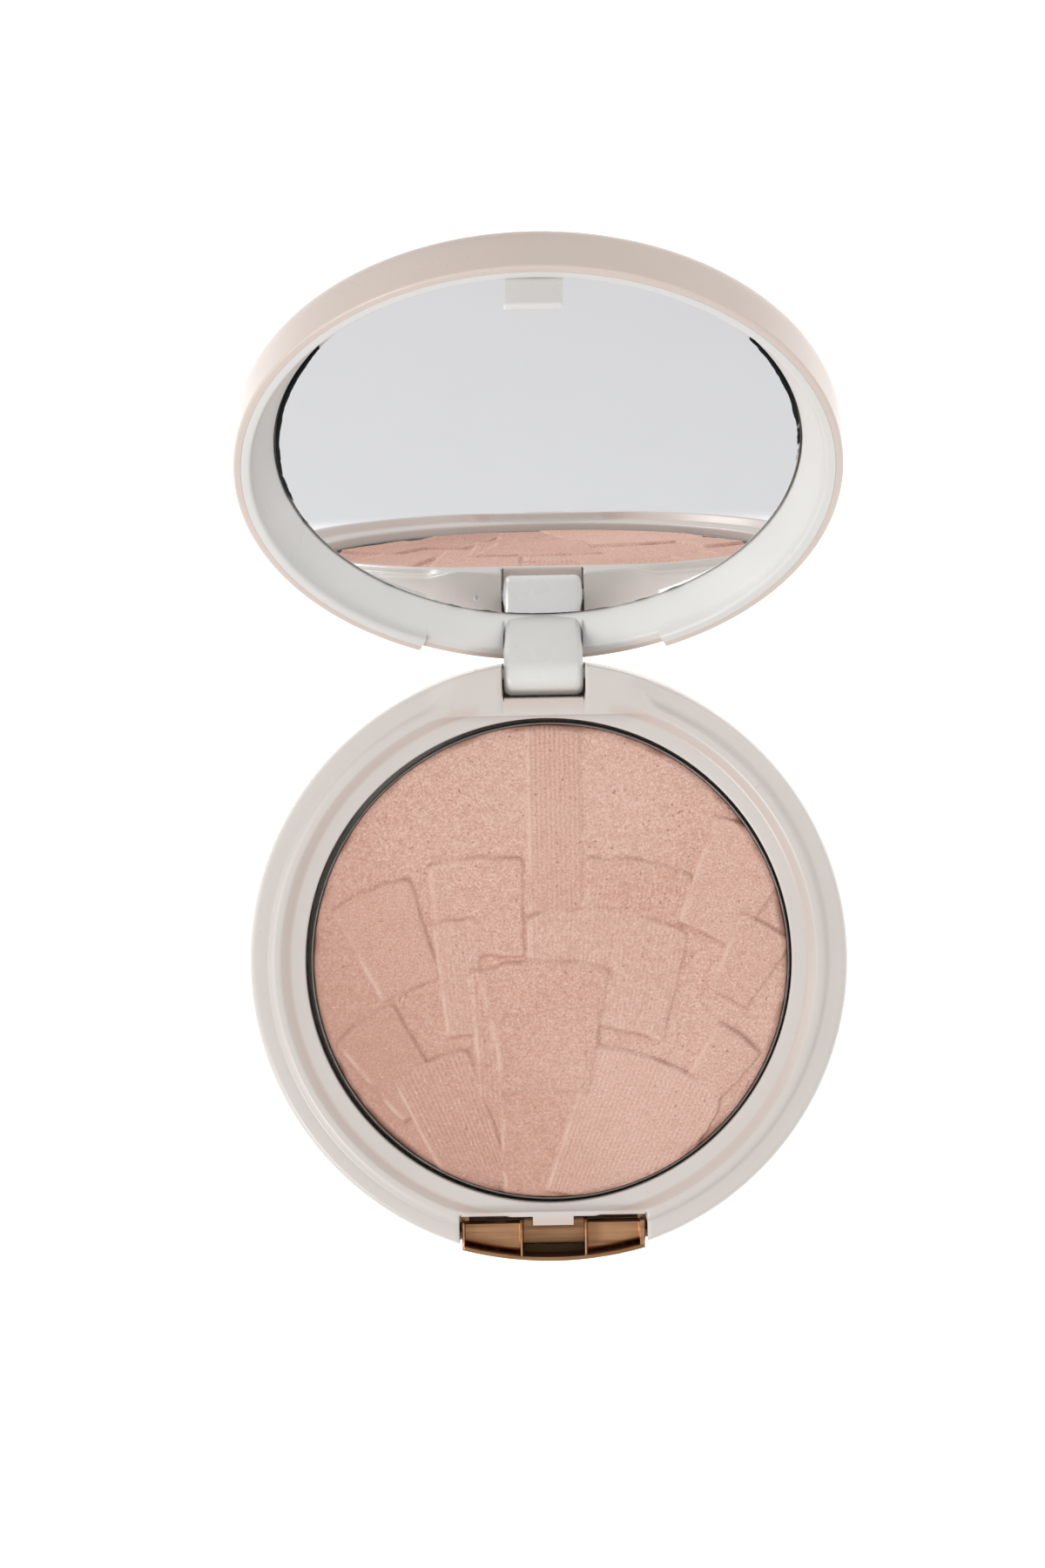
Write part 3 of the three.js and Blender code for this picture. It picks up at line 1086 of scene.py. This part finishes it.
@dataclass(frozen=True)
class Patch:
    """One embossed patch: a fan-shaped tile with an arched top and foot and tapering sides."""

    top: Pair
    lean: float
    half_width: float
    length: float
    level: float
    relief: Relief = Relief.SMOOTH
    arch: float = 25.0
    taper: float = 0.13

    def local(self, x: np.ndarray, y: np.ndarray) -> tuple[np.ndarray, np.ndarray]:
        """Gives coordinates across and along the patch, from the middle of its top edge.

        Args:
            x: places along X.
            y: places along Y.

        Returns:
            The two coordinates, in millimetres.
        """
        c, s = math.cos(math.radians(self.lean)), math.sin(math.radians(self.lean))
        dx, dy = x - self.top[0], y - self.top[1]
        return dx * c - dy * s, dx * s + dy * c

    def distance(self, x: np.ndarray, y: np.ndarray) -> tuple[np.ndarray, np.ndarray]:
        """Measures how far points lie outside the patch.

        It is the greatest of three distances: past the top arc, past the foot arc and past a side.

        Args:
            x: places along X.
            y: places along Y.

        Returns:
            Distances in millimetres, negative inside, and 1 where an arc is nearest or 0 where a side is.
        """
        u, v = self.local(x, y)
        over = np.hypot(u, v + self.arch) - self.arch
        under = self.arch - np.hypot(u, v + self.length + self.arch)
        beside = np.abs(u) - (self.half_width + self.taper * v)
        soft = 0.25
        arcs = soft * np.logaddexp(over / soft, under / soft)
        return soft * np.logaddexp(arcs / soft, beside / soft), smooth_step(arcs - beside, -0.8, 0.4)

    def ribs(self, x: np.ndarray, y: np.ndarray, pitch: float) -> np.ndarray:
        """Gives a wave across the patch whose crests converge with its sides.

        Args:
            x: places along X.
            y: places along Y.
            pitch: distance between crests at the top edge.

        Returns:
            The wave, from -1 to 1.
        """
        u, v = self.local(x, y)
        width = np.maximum(self.half_width + self.taper * v, 0.5)
        return np.cos(math.tau * u / width * self.half_width / pitch)


@dataclass
class PowderPan:
    """Metal pan, and the pressed powder in it with a pattern of overlapping fan-shaped tiles."""

    radius: float = 28.7
    bottom: float = 4.65
    surface_z: float = 7.9
    seating: Pair = (0.2, -0.1)
    columns: int = 380
    rows: int = 255
    seed: int = 11
    rib_pitch: float = 0.58
    rib_depth: float = 0.055
    gain: float = 1.9
    line_depth: float = 0.05
    grain_height: float = 0.005
    chip_depth: float = 0.12
    edge_rounding: Pair = (0.35, 0.7)
    pan_radius: float = 28.98
    pan_wall: float = 0.24
    pan_bottom: float = 4.2
    pan_rim: float = 8.05
    patches: tuple[Patch, ...] = (
        Patch((0.8, 30.5), 0, 3.3, 25, 0.08, Relief.RIBBED, 40, 0.0),
        Patch((-9.0, 12.7), -3, 5.8, 12, 0.15, Relief.SMOOTH, 30, 0.05),
        Patch((-21.9, 9.0), -22, 5.2, 13, 0.19, Relief.SMOOTH, 24, 0.10),
        Patch((11.2, 12.0), 10, 6.5, 13, 0.17, Relief.RIBBED, 27, 0.06),
        Patch((25.4, 15.4), 27, 5.6, 14, 0.20, Relief.SMOOTH, 24, 0.12),
        Patch((26.4, 3.9), 30, 3.6, 10, 0.16, Relief.SMOOTH, 20, 0.10),
        Patch((7.2, 5.9), 7, 10.0, 14, 0.15, Relief.RIBBED, 30, 0.12),
        Patch((-11.7, 5.1), -6, 2.7, 14, 0.13, Relief.RIBBED, 30, 0.02),
        Patch((-23.0, -6.9), -34, 4.4, 13, 0.17, Relief.SMOOTH, 18, 0.10),
        Patch((-15.0, -11.9), -22, 5.1, 18, 0.17, Relief.RIBBED, 22, 0.08),
        Patch((23.0, -9.5), 38, 3.3, 12, 0.20, Relief.SMOOTH, 18, 0.10),
        Patch((-0.9, -15.5), 0, 5.6, 15, 0.12, Relief.SMOOTH, 24, 0.02),
        Patch((13.4, -12.5), 24, 8.6, 19, 0.22, Relief.RIBBED, 24, 0.08),
        Patch((-8.2, -0.9), -3, 1.6, 16.4, 0.16, Relief.RIBBED, 12, 0.0),
        Patch((-0.8, 0.1), 0, 8.2, 15.8, 0.23, Relief.SMOOTH, 26, 0.19),
    )

    def pan(self) -> Surface:
        """Makes the pan with its thin rounded rim.

        Returns:
            The closed surface.
        """
        radius, wall, bottom, top = self.pan_radius, self.pan_wall, self.pan_bottom, self.pan_rim
        surface = revolved(
            [(0, bottom), (radius, bottom), (radius, top), (radius - wall, top),
             (radius - wall, bottom + wall), (0, bottom + wall)],
            [0, 0.7, 0.1, 0.1, 0.3, 0],
        )
        surface.points[:, :2] += self.seating
        return surface

    def relief(self, x: np.ndarray, y: np.ndarray) -> tuple[np.ndarray, dict[str, np.ndarray]]:
        """Embosses the tiles one over another.

        Each tile sets its own level inside its outline, with a step about 0.2 mm wide, a shallow pressed
        line just outside the outline and, on ribbed tiles, fine waves along its sides. Painted shade
        along the lines and round the cake's edge comes and goes unevenly, painted highlights lie on the
        lit crests, and the cake's edge is a little chipped.

        Args:
            x: places along X.
            y: places along Y.

        Returns:
            The height over the surface and the masks of painted shade in grooves and at the edge, of painted
            highlights on lit crests and of tiles' tints, from 0 to 1.
        """
        chance = np.random.default_rng(self.seed)
        height = np.zeros_like(x)
        groove, crest, tint = np.zeros_like(x), np.zeros_like(x), np.full_like(x, 0.4)
        waves = chance.uniform(-1, 1, (7, 3)) * (2.4, 2.4, 2 * math.pi)
        wobble = sum(np.sin(a * x + b * y + c) for a, b, c in waves) * 0.03
        for patch in self.patches:
            distance, on_arc = patch.distance(x, y)
            distance = distance + wobble
            inside = smooth_step(-distance, -0.1, 0.12)
            left = smooth_step(-patch.local(x, y)[0], -1, 1) * (1 - on_arc)
            level = np.full_like(x, patch.level * self.gain)
            if patch.relief is Relief.RIBBED:
                level += self.rib_depth * (patch.ribs(x, y, self.rib_pitch) - 1)
            # painted shade along the pressed line, weaker on sides that face the key lamp
            line = np.exp(-((distance - 0.1) / 0.22) ** 2) * (0.35 + 0.65 * on_arc) * (1 - 0.8 * left)
            height = height * (1 - inside) + level * inside - self.line_depth * line
            groove = np.maximum(groove * (1 - inside), line)
            # painted highlight just inside edges that face the key lamp
            lit = np.exp(-((distance + 0.3) / 0.28) ** 2) * (left + 0.2 * on_arc)
            crest = np.maximum(crest * (1 - inside), lit)
            tint = tint * (1 - inside) + chance.uniform(0, 1) * inside
        height += chance.normal(0, self.grain_height, x.shape)
        waves = chance.uniform(-1, 1, (9, 3)) * (1.5, 1.5, 2 * math.pi)
        worn = sum(np.sin(a * x + b * y + c) for a, b, c in waves) / 3
        edge = smooth_step(np.hypot(x, y), self.radius - 0.9, self.radius - 0.1)
        # painted shade along the lines and round the cake's edge, uneven
        mask = groove * smooth_step(worn, -0.9, 1.1) + edge * smooth_step(worn, -0.6, 1.2)
        masks = {"groove": np.clip(mask, 0, 1), "crest": crest * smooth_step(worn, -1.2, 0.6), "tint": tint}
        return height - self.chip_depth * edge * smooth_step(worn, 0.2, 1.0), masks

    def cake(self) -> tuple[Surface, dict[str, np.ndarray]]:
        """Makes the powder: a disc of straight chords whose top follows the relief.

        Rows follow y = R (sin a + a') / 2, where a runs from -90 to 90 degrees and a' is its share, so
        that rows crowd towards the ends. Columns split each chord evenly.

        Returns:
            The closed surface and the masks of its points.
        """
        turn = np.linspace(-math.pi / 2, math.pi / 2, self.rows)
        y_line = self.radius * (np.sin(turn) + turn / (math.pi / 2)) / 2
        share = np.sin(np.linspace(-math.pi / 2, math.pi / 2, self.columns)) * 0.25
        share += np.linspace(-1, 1, self.columns) * 0.75
        y = np.repeat(y_line[:, None], self.columns, axis=1)
        x = np.sqrt(np.maximum(self.radius**2 - y**2, 0)) * share[None]
        height, masks = self.relief(x, y)
        edge = self.radius - np.hypot(x, y)
        drop, width = self.edge_rounding
        rounding = drop * (1 - np.sqrt(np.clip(edge / width, 0, 1)))
        z = self.surface_z + height - rounding
        top = np.stack([x + self.seating[0], y + self.seating[1], z], axis=2)
        surface = capped_relief(top, self.bottom)
        rest = np.zeros(len(surface.points) - height.size)
        return surface, {name: np.concatenate([mask.ravel(), rest]) for name, mask in masks.items()}

    def build(self, metal: Material, powder: Material) -> None:
        """Builds the pan and the powder.

        Args:
            metal: the pan's metal.
            powder: the pressed powder.
        """
        make_piece("powder_pan", self.pan(), metal, Body.BASE, ["godet"])
        surface, masks = self.cake()
        make_piece("pressed_powder", surface, powder, Body.BASE, ["powder_cake"], 75, masks)


@dataclass
class PushButton:
    """Metallised push button with three open pockets, two ribs and a bowed front."""

    half_width: float = 11.1
    back: float = -31.7
    front: float = -36.6
    front_radius: float = 42.0
    bottom: float = 3.8
    top: float = 9.2
    columns: int = 380
    rows: int = 96
    blend: float = 0.07
    front_wall: float = 0.58
    face_drop: float = 0.6
    end_walls: Pair = (0.35, 0.65)
    rib_place: float = 3.9
    rib_half_width: float = 0.18
    ramp_front: float = -34.75
    middle_floor: float = 4.5
    ramp_floor: float = 5.0
    ramp_rise: float = 0.4
    side_floor: float = 6.9
    side_fall: float = 0.35
    groove_depth: float = 0.7
    groove_width: float = 0.36
    back_depth: float = 1.2
    rim_rounding: float = 0.3
    ear_y: Pair = (-31.9, -31.1)
    ear_z: Pair = (3.9, 6.2)
    ear_x: Pair = (10.2, 12.2)

    def _profile(self, x: np.ndarray, y: np.ndarray, front: np.ndarray) -> tuple[np.ndarray, np.ndarray]:
        """Works out the top: walls stand where any wall's distance is inside its width.

        Args:
            x: places along X.
            y: places along Y.
            front: y of the bowed front at each x.

        Returns:
            The height, and the painted shade in the pockets, grooves and on the front face, from 0 to 1.
        """
        across = np.abs(x)
        end_wall = np.where(x < 0, *self.end_walls)
        rib = smooth_step(self.rib_half_width - np.abs(across - self.rib_place), -self.blend, self.blend)
        end = smooth_step(across - (self.half_width - end_wall), -self.blend, self.blend)
        face = smooth_step(self.front_wall - (y - front), -self.blend, self.blend)
        inner = across < self.rib_place
        slope = np.clip((self.back - y) / (self.back - self.ramp_front), 0, 1)
        ramp_end = smooth_step(y, self.ramp_front - 0.12, self.ramp_front + 0.05)
        middle = self.middle_floor * (1 - ramp_end) + (self.ramp_floor + self.ramp_rise * slope) * ramp_end
        ahead = y - front - self.front_wall
        groove = np.exp(-(ahead / self.groove_width) ** 2)
        back_drop = 1 - smooth_step(self.back - y, 0.05, 0.4)
        side = self.side_floor - self.side_fall * slope - self.groove_depth * groove
        side -= self.back_depth * back_drop
        floor = np.where(inner, middle, side)
        wall = np.maximum(np.maximum(rib, end), face)
        height = floor * (1 - wall) + (self.top - self.face_drop * face) * wall
        rim = np.minimum(np.minimum(y - front, self.half_width - across), self.back - y + 0.12)
        height -= self.rim_rounding * (1 - np.sqrt(np.clip(rim / self.rim_rounding, 0, 1))) * wall
        # Painted shade: dark in the deep middle pocket, in the side grooves and behind the back, a little on
        # the front face.
        deep = np.where(inner, 1 - ramp_end * smooth_step(y, self.ramp_front, self.ramp_front + 0.7) * 0.9,
                        0.65 * groove)
        painted_pocket_shade = np.maximum(deep, 0.55 * back_drop) * (1 - wall) + 0.3 * face
        return height, np.clip(painted_pocket_shade, 0, 1)

    def surface(self) -> tuple[Surface, np.ndarray]:
        """Makes the button: x splits the width evenly, y runs from the bowed front to the flat back.

        Returns:
            The closed surface with its two retaining ears, and the painted shade of its points.
        """
        x = np.linspace(-self.half_width, self.half_width, self.columns)[None].repeat(self.rows, axis=0)
        centre = self.front + self.front_radius
        front = centre - np.sqrt(self.front_radius**2 - x**2)
        share = np.linspace(0, 1, self.rows)[:, None]
        y = front + (self.back - front) * share
        height, painted_pocket_shade = self._profile(x, y, front)
        body = capped_relief(np.stack([x, y, height], axis=2), self.bottom)
        (near, far), (low, high), rounding = self.ear_y, self.ear_z, 0.15
        outline = round_outline([(near, low), (far, low), (far, high), (near, high)], [rounding] * 4, 3)
        for side in (-1, 1):
            left, right = sorted(side * edge for edge in self.ear_x)
            body = body.joined(bar(outline, left, right, rounding))
        # The ears get a little painted shade too.
        mask = np.concatenate([painted_pocket_shade.ravel(), np.full(len(body.points) - painted_pocket_shade.size, 0.2)])
        return body, mask

    def build(self, metal: Material) -> None:
        """Builds the button.

        Args:
            metal: the metallised finish.
        """
        surface, mask = self.surface()
        make_piece("push_button_cap", surface, metal, Body.BUTTON, ["push_button"], 60,
                   {"painted_pocket_shade": mask})


# ---------------------------------------------------------------- lid


@dataclass
class Lid:
    """Lid cover, inner frame with knuckle and latch hook, and mirror. Shaped shut, then opened."""

    height: float = 6.6
    joint_radius: float = 35.0
    cut_half_width: float = BLOCK_HALF_WIDTH + 0.3
    cut_z: float = DECK_Z + 0.2
    cut_radius: float = 35.5
    cover_skin: float = 1.05
    cover_rounding: float = 2.2
    crown: float = 0.15
    knuckle_radius: float = 2.5
    hook_depth: float = 4.0
    hook_half_width: float = 3.4
    mirror_thickness: float = 0.6
    mirror_tilt: float = 0.65
    mirror_bevel: float = 0.25
    worn_width: float = 0.45

    @property
    def top_z(self) -> float:
        """Height of the shut lid's flat top."""
        return LID_RIM_Z + self.height

    def _angles(self) -> np.ndarray:
        """Spaces the columns evenly, with close ones at the two ends of the cut in the rim.

        Returns:
            The columns' angles, in order.
        """
        even = np.linspace(0, math.tau, ROUND_STEPS, endpoint=False)
        offsets = np.array([-0.3, -0.12, -0.02, 0.0, 0.3])
        turn = np.arcsin((self.cut_half_width + offsets) / self.cut_radius)
        ends = math.pi / 2 + np.concatenate([-turn, turn])
        even = even[np.min(np.abs(even[:, None] - ends[None]), axis=1) > 0.009]
        return np.sort(np.concatenate([even, ends]))

    def _rim(self, angles: np.ndarray) -> np.ndarray:
        """Gives the rim's height at each column: higher where the rim is cut over the hinge block.

        Args:
            angles: the columns' angles.

        Returns:
            The heights.
        """
        across = np.abs(self.cut_radius * np.cos(angles))
        cut = (np.sin(angles) > 0) & (across < self.cut_half_width - 0.01)
        rise = self.cut_z - LID_RIM_Z
        return LID_RIM_Z + np.where(cut, rise, 0.0)

    def cover(self) -> Surface:
        """Makes the outer skin: a shallow cap with a large rounded edge and a slight crown.

        Returns:
            The closed surface of the shut lid's cover.
        """
        angles = self._angles()
        rim, one = self._rim(angles), np.ones(len(angles))
        ceiling, inside = self.top_z - self.cover_skin, self.joint_radius + 0.1
        corners = [(0, ceiling), (inside, ceiling), (inside, rim), (LID_RADIUS, rim),
                   (LID_RADIUS, self.top_z), (22, self.top_z + 0.11), (0, self.top_z + self.crown)]
        rows = rounded(np.array([np.column_stack([r * one, z * one]) for r, z in corners]),
                       [0, 0.2, 0.02, 0.35, self.cover_rounding, 6, 0], 6)
        return swept(rows, angles)

    def ring(self) -> Surface:
        """Makes the inner ring: rim, sloping wall down to the mirror and the pocket round its edge.

        Returns:
            The closed surface of the shut lid's ring.
        """
        angles = self._angles()
        rim, one = self._rim(angles), np.ones(len(angles))
        ceiling, pocket, outer = self.top_z - 1.15, MIRROR_RADIUS + 0.25, self.joint_radius + 0.08
        shoulder = np.maximum(rim + 0.35, SEAT_Z + 1.4)
        corners = [(33.95, rim), (outer, rim), (outer, ceiling), (pocket, ceiling),
                   (pocket, MIRROR_FACE_Z - 0.05), (33.75, shoulder)]
        rows = rounded(np.array([np.column_stack([r * one, z * one]) for r, z in corners]),
                       [0.4, 0.02, 0.1, 0.1, 0.15, 0.6], 5)
        return swept(rows, angles, closed=True)

    def knuckle(self) -> Surface:
        """Makes the hinge knuckle: a round end about the pin, with an arm up to the mirror's edge.

        Returns:
            The closed surface.
        """
        radius, back_y = self.knuckle_radius, CASE_RADIUS - 0.35
        turn = np.linspace(math.pi, math.tau, 40)
        end = np.column_stack([HINGE.y + radius * np.cos(turn), HINGE.z + radius * np.sin(turn)])
        end[:, 0] = np.minimum(end[:, 0], back_y)
        back = [(back_y, DECK_Z + 0.1), (34.6, DECK_Z + 0.6), (34.4, MIRROR_FACE_Z + 0.1)]
        face = [(MIRROR_RADIUS + 0.4, MIRROR_FACE_Z + 0.1), (MIRROR_RADIUS + 0.3, MIRROR_FACE_Z - 0.05),
                (HINGE.y - radius, DECK_Z + 0.5)]
        outline = np.vstack([end, back, face])
        return bar(outline, -KNUCKLE_HALF_WIDTH, KNUCKLE_HALF_WIDTH, 0.95, 6)

    def hook(self) -> Surface:
        """Makes the latch hook with its barb towards the catch.

        Returns:
            The closed surface of the shut lid's hook.
        """
        front, stem, barb = -33.9, -32.9, -32.25
        tip, root = LID_RIM_Z - self.hook_depth, 12.4
        outline = round_outline(
            [(front, tip), (-33.0, tip), (barb, tip + 1.2), (barb, tip + 1.7), (stem, tip + 2.3),
             (stem, root), (front, root)],
            [0.4, 0.4, 0.2, 0.2, 0.3, 0, 0],
        )
        return bar(outline, -self.hook_half_width, self.hook_half_width, 0.3)

    def mirror(self) -> tuple[Surface, np.ndarray]:
        """Makes the glass disc with a ground bevel round its face, seated a little out of level.

        Returns:
            The closed surface of the shut lid's mirror and the mask of its worn edge.
        """
        face, back = MIRROR_FACE_Z, MIRROR_FACE_Z + self.mirror_thickness
        bevel, worn = self.mirror_bevel, self.worn_width
        surface = revolved(
            [(0, face), (MIRROR_RADIUS - bevel - worn, face), (MIRROR_RADIUS - bevel, face),
             (MIRROR_RADIUS, face + bevel), (MIRROR_RADIUS, back), (0, back)],
            [0, 0.02, 0.03, 0.03, 0.03, 0],
        )
        x, y = surface.points[:, 0], surface.points[:, 1]
        side = smooth_step(np.abs(x) / MIRROR_RADIUS, 0.72, 0.9) * np.where(x < 0, 1.0, 0.7)
        side *= smooth_step(y, 30, -12)
        share = y / MIRROR_RADIUS
        bottom = smooth_step(share, 0.6, 0.8) * 0.45 + smooth_step(share, 0.95, 0.98) * 0.2
        bottom = np.maximum(bottom, 0.75 * smooth_step(-np.abs(x + 1), -6, -3) * (y > 0))
        ring = smooth_step(np.hypot(x, y), MIRROR_RADIUS - bevel - worn, MIRROR_RADIUS - bevel - 0.1)
        mask = ring * np.maximum(np.maximum(side, bottom), 0.25)
        surface.points[:, 2] -= y * math.tan(math.radians(self.mirror_tilt))
        return surface, mask

    def build(self, shell: Material, inner: Material, glass: Material) -> None:
        """Builds the lid's pieces on the open lid.

        Args:
            shell: plastic of the cover.
            inner: plastic of the inner frame.
            glass: the mirror's finish.
        """
        cover = self.cover().on_open_lid()
        make_piece("lid_cover_shell", cover, shell, Body.LID, ["lid_cover"])
        ring = self.ring().joined(self.knuckle()).joined(self.hook()).on_open_lid()
        make_piece("lid_inner_frame", ring, inner, Body.LID, ["lid_frame"])
        disc, worn = self.mirror()
        make_piece("mirror_disc", disc.on_open_lid(), glass, Body.LID, ["mirror"], 25,
                   {"worn": worn})


@dataclass
class SmallParts:
    """Hinge pin, return spring and adhesive layers."""

    pin_radius: float = 0.75

    def pin(self) -> Surface:
        """Makes the pin: a rod with rounded end edges along the hinge axis.

        Returns:
            The closed surface.
        """
        low, high = node_box("hinge_pin")
        turn, radius = np.linspace(0, math.tau, 48, endpoint=False), self.pin_radius
        outline = np.column_stack([HINGE.y + radius * np.cos(turn), HINGE.z + radius * np.sin(turn)])
        return bar(outline, float(low[0]), float(high[0]), 0.15, 3)

    def build(self, steel: Material, tape: Material) -> None:
        """Builds the pin and dresses the hidden CAD parts.

        Args:
            steel: finish of the pin and the spring.
            tape: finish of the adhesive layers.
        """
        make_piece("hinge_pin_rod", self.pin(), steel, Body.BASE, ["hinge_pin"])
        hidden = {"return_spring": steel, "godet_adhesive": tape, "mirror_adhesive": tape}
        for node, material in hidden.items():
            mesh = frame["nodes"][node].data
            mesh.materials.clear()
            mesh.materials.append(material)


# ---------------------------------------------------------------- studio


@dataclass
class Studio:
    """Floor, soft light and camera."""

    camera_place: Place = (7.96, 79.2, 1002.0)
    camera_target: Place = (-2.85, 21.07, 1.5)
    camera_roll: float = -1.05
    lens: float = 188.93
    sky: float = 0.6
    pool: Place = (0.0, 0.02, 0.108)
    pool_end: float = 0.148
    floor_reach: float = 4.0
    floor_tones: tuple[Colour, Colour] = ((0.64, 0.64, 0.65, 1), (0.66, 0.66, 0.67, 1))
    side_tint: Place = (0.9, 0.96, 1.0)

    def camera(self) -> None:
        """Makes the camera: it looks from its place to its target, with Y up in the picture."""
        data = bpy.data.cameras.new("camera")
        data.lens, data.sensor_width = self.lens, 36
        data.clip_start, data.clip_end = 0.05, 20
        data.dof.use_dof = False
        camera = bpy.data.objects.new("camera", data)
        bpy.context.scene.collection.objects.link(camera)
        place, target = Vector(self.camera_place) * MM, Vector(self.camera_target) * MM
        back = (place - target).normalized()
        right = Vector((0, 1, 0)).cross(back).normalized()
        turn = Matrix((right, back.cross(right), back)).transposed().to_4x4()
        roll = Matrix.Rotation(math.radians(self.camera_roll), 4, "Z")
        camera.matrix_world = Matrix.Translation(place) @ turn @ roll
        bpy.context.scene.camera = camera

    def light(self, name: str, place: Place, size: float, power: float, colour: Place = (1, 1, 1)) -> None:
        """Adds a square soft light aimed at the compact.

        Args:
            name: name of the light.
            place: its place, in metres.
            size: side of the square, in metres.
            power: its power, in watts.
            colour: its colour.
        """
        data = bpy.data.lights.new(name, "AREA")
        data.size, data.energy, data.color = size, power, colour
        light = bpy.data.objects.new(name, data)
        bpy.context.scene.collection.objects.link(light)
        light.location = place
        aim = Vector((0, 0.02, 0.01)) - Vector(place)
        light.rotation_euler = aim.to_track_quat("-Z", "Y").to_euler()

    def floor(self) -> None:
        """Lays a large pale floor with a faint, slow unevenness in its tone, and a painted glow in a pool
        round the compact that washes out its shadow and lights it from below.
        """
        steps = np.linspace(-self.floor_reach, self.floor_reach, 9)
        x, y = np.meshgrid(steps, steps)
        points = np.stack([x, y, np.zeros_like(x)], axis=2).reshape(-1, 3)
        mesh = bpy.data.meshes.new("floor")
        mesh.from_pydata(points, [], open_quads(np.arange(x.size).reshape(x.shape)).tolist())
        material, tree, shader = new_material("floor_paper")
        place = add_node(tree, "TexCoord").outputs["Object"]
        tone = blend_colour(tree, noise(tree, place, 3.0, 2), *self.floor_tones)
        tree.links.new(tone, shader.inputs["Base Color"])
        shader.inputs["Roughness"].default_value = 0.9
        centre = (self.pool[0], self.pool[1], 0)
        offset = add_node(tree, "VectorMath", {0: place, 1: centre}, operation="SUBTRACT")
        reach = add_node(tree, "VectorMath", {0: offset.outputs[0]}, operation="LENGTH").outputs["Value"]
        limits = {"Value": reach, "From Min": self.pool[2], "From Max": self.pool_end,
                  "To Min": 1.0, "To Max": 0.0}
        glow = add_node(tree, "MapRange", limits, interpolation_type="SMOOTHSTEP")
        level = add_node(tree, "CombineColor", {k: glow.outputs["Result"] for k in range(3)})
        tree.links.new(level.outputs[0], shader.inputs["Emission Color"])
        shader.inputs["Emission Strength"].default_value = 1.0
        mesh.materials.append(material)
        floor = bpy.data.objects.new("floor", mesh)
        bpy.context.scene.collection.objects.link(floor)

    def build(self) -> None:
        """Sets up the sky, the floor and four soft lights."""
        world = bpy.data.worlds.new("studio")
        world.use_nodes = True
        background = world.node_tree.nodes["Background"]
        background.inputs["Color"].default_value = (1, 1, 1, 1)
        background.inputs["Strength"].default_value = self.sky
        bpy.context.scene.world = world
        bpy.context.scene.view_settings.view_transform = "Standard"
        self.floor()
        self.light("key", (-0.75, -0.65, 0.95), 0.5, 8.5)
        self.light("fill", (0.65, 0.7, 0.9), 0.8, 4.4)
        for name, side, power in (("left", -1, 0.27), ("right", 1, 0.12)):
            self.light(f"side_{name}", (0.36 * side, 0.03, 0.12), 0.2, power, self.side_tint)


def main() -> None:
    """Builds the studio, the finishes and every piece."""
    logging.basicConfig(level=logging.INFO, format="%(message)s")
    studio = Studio()
    studio.camera()
    effects = Effects.built()
    shell = PlasticFinish("shell_plastic", (0.65, 0.555, 0.495, 1),
                          (0.63, 0.535, 0.475, 1)).material(effects)
    base = PlasticFinish("base_plastic", (0.612, 0.566, 0.53, 1), (0.592, 0.545, 0.508, 1)).material(effects)
    inner = PlasticFinish("lid_frame_plastic", (0.695, 0.68, 0.655, 1), (0.675, 0.66, 0.635, 1),
                          dust=0.0).material(effects)
    bronze = MetalFinish("button_metallised", (0.67, 0.375, 0.205, 1), (0.35, 0.18, 0.09, 1),
                         0.32).material(effects)
    pan = MetalFinish("pan_metal", (0.27, 0.245, 0.225, 1), (0.2, 0.18, 0.165, 1), 0.4).material(effects)
    steel = MetalFinish("steel", (0.6, 0.6, 0.61, 1), (0.5, 0.5, 0.51, 1), 0.3).material(effects)
    BaseShells().build(base)
    PowderPan().build(pan, PowderFinish().material(effects))
    PushButton().build(bronze)
    Lid().build(shell, inner, MirrorFinish().material(effects))
    SmallParts().build(steel, TapeFinish().material(effects))
    studio.build()


if __name__ == "__main__":
    main()
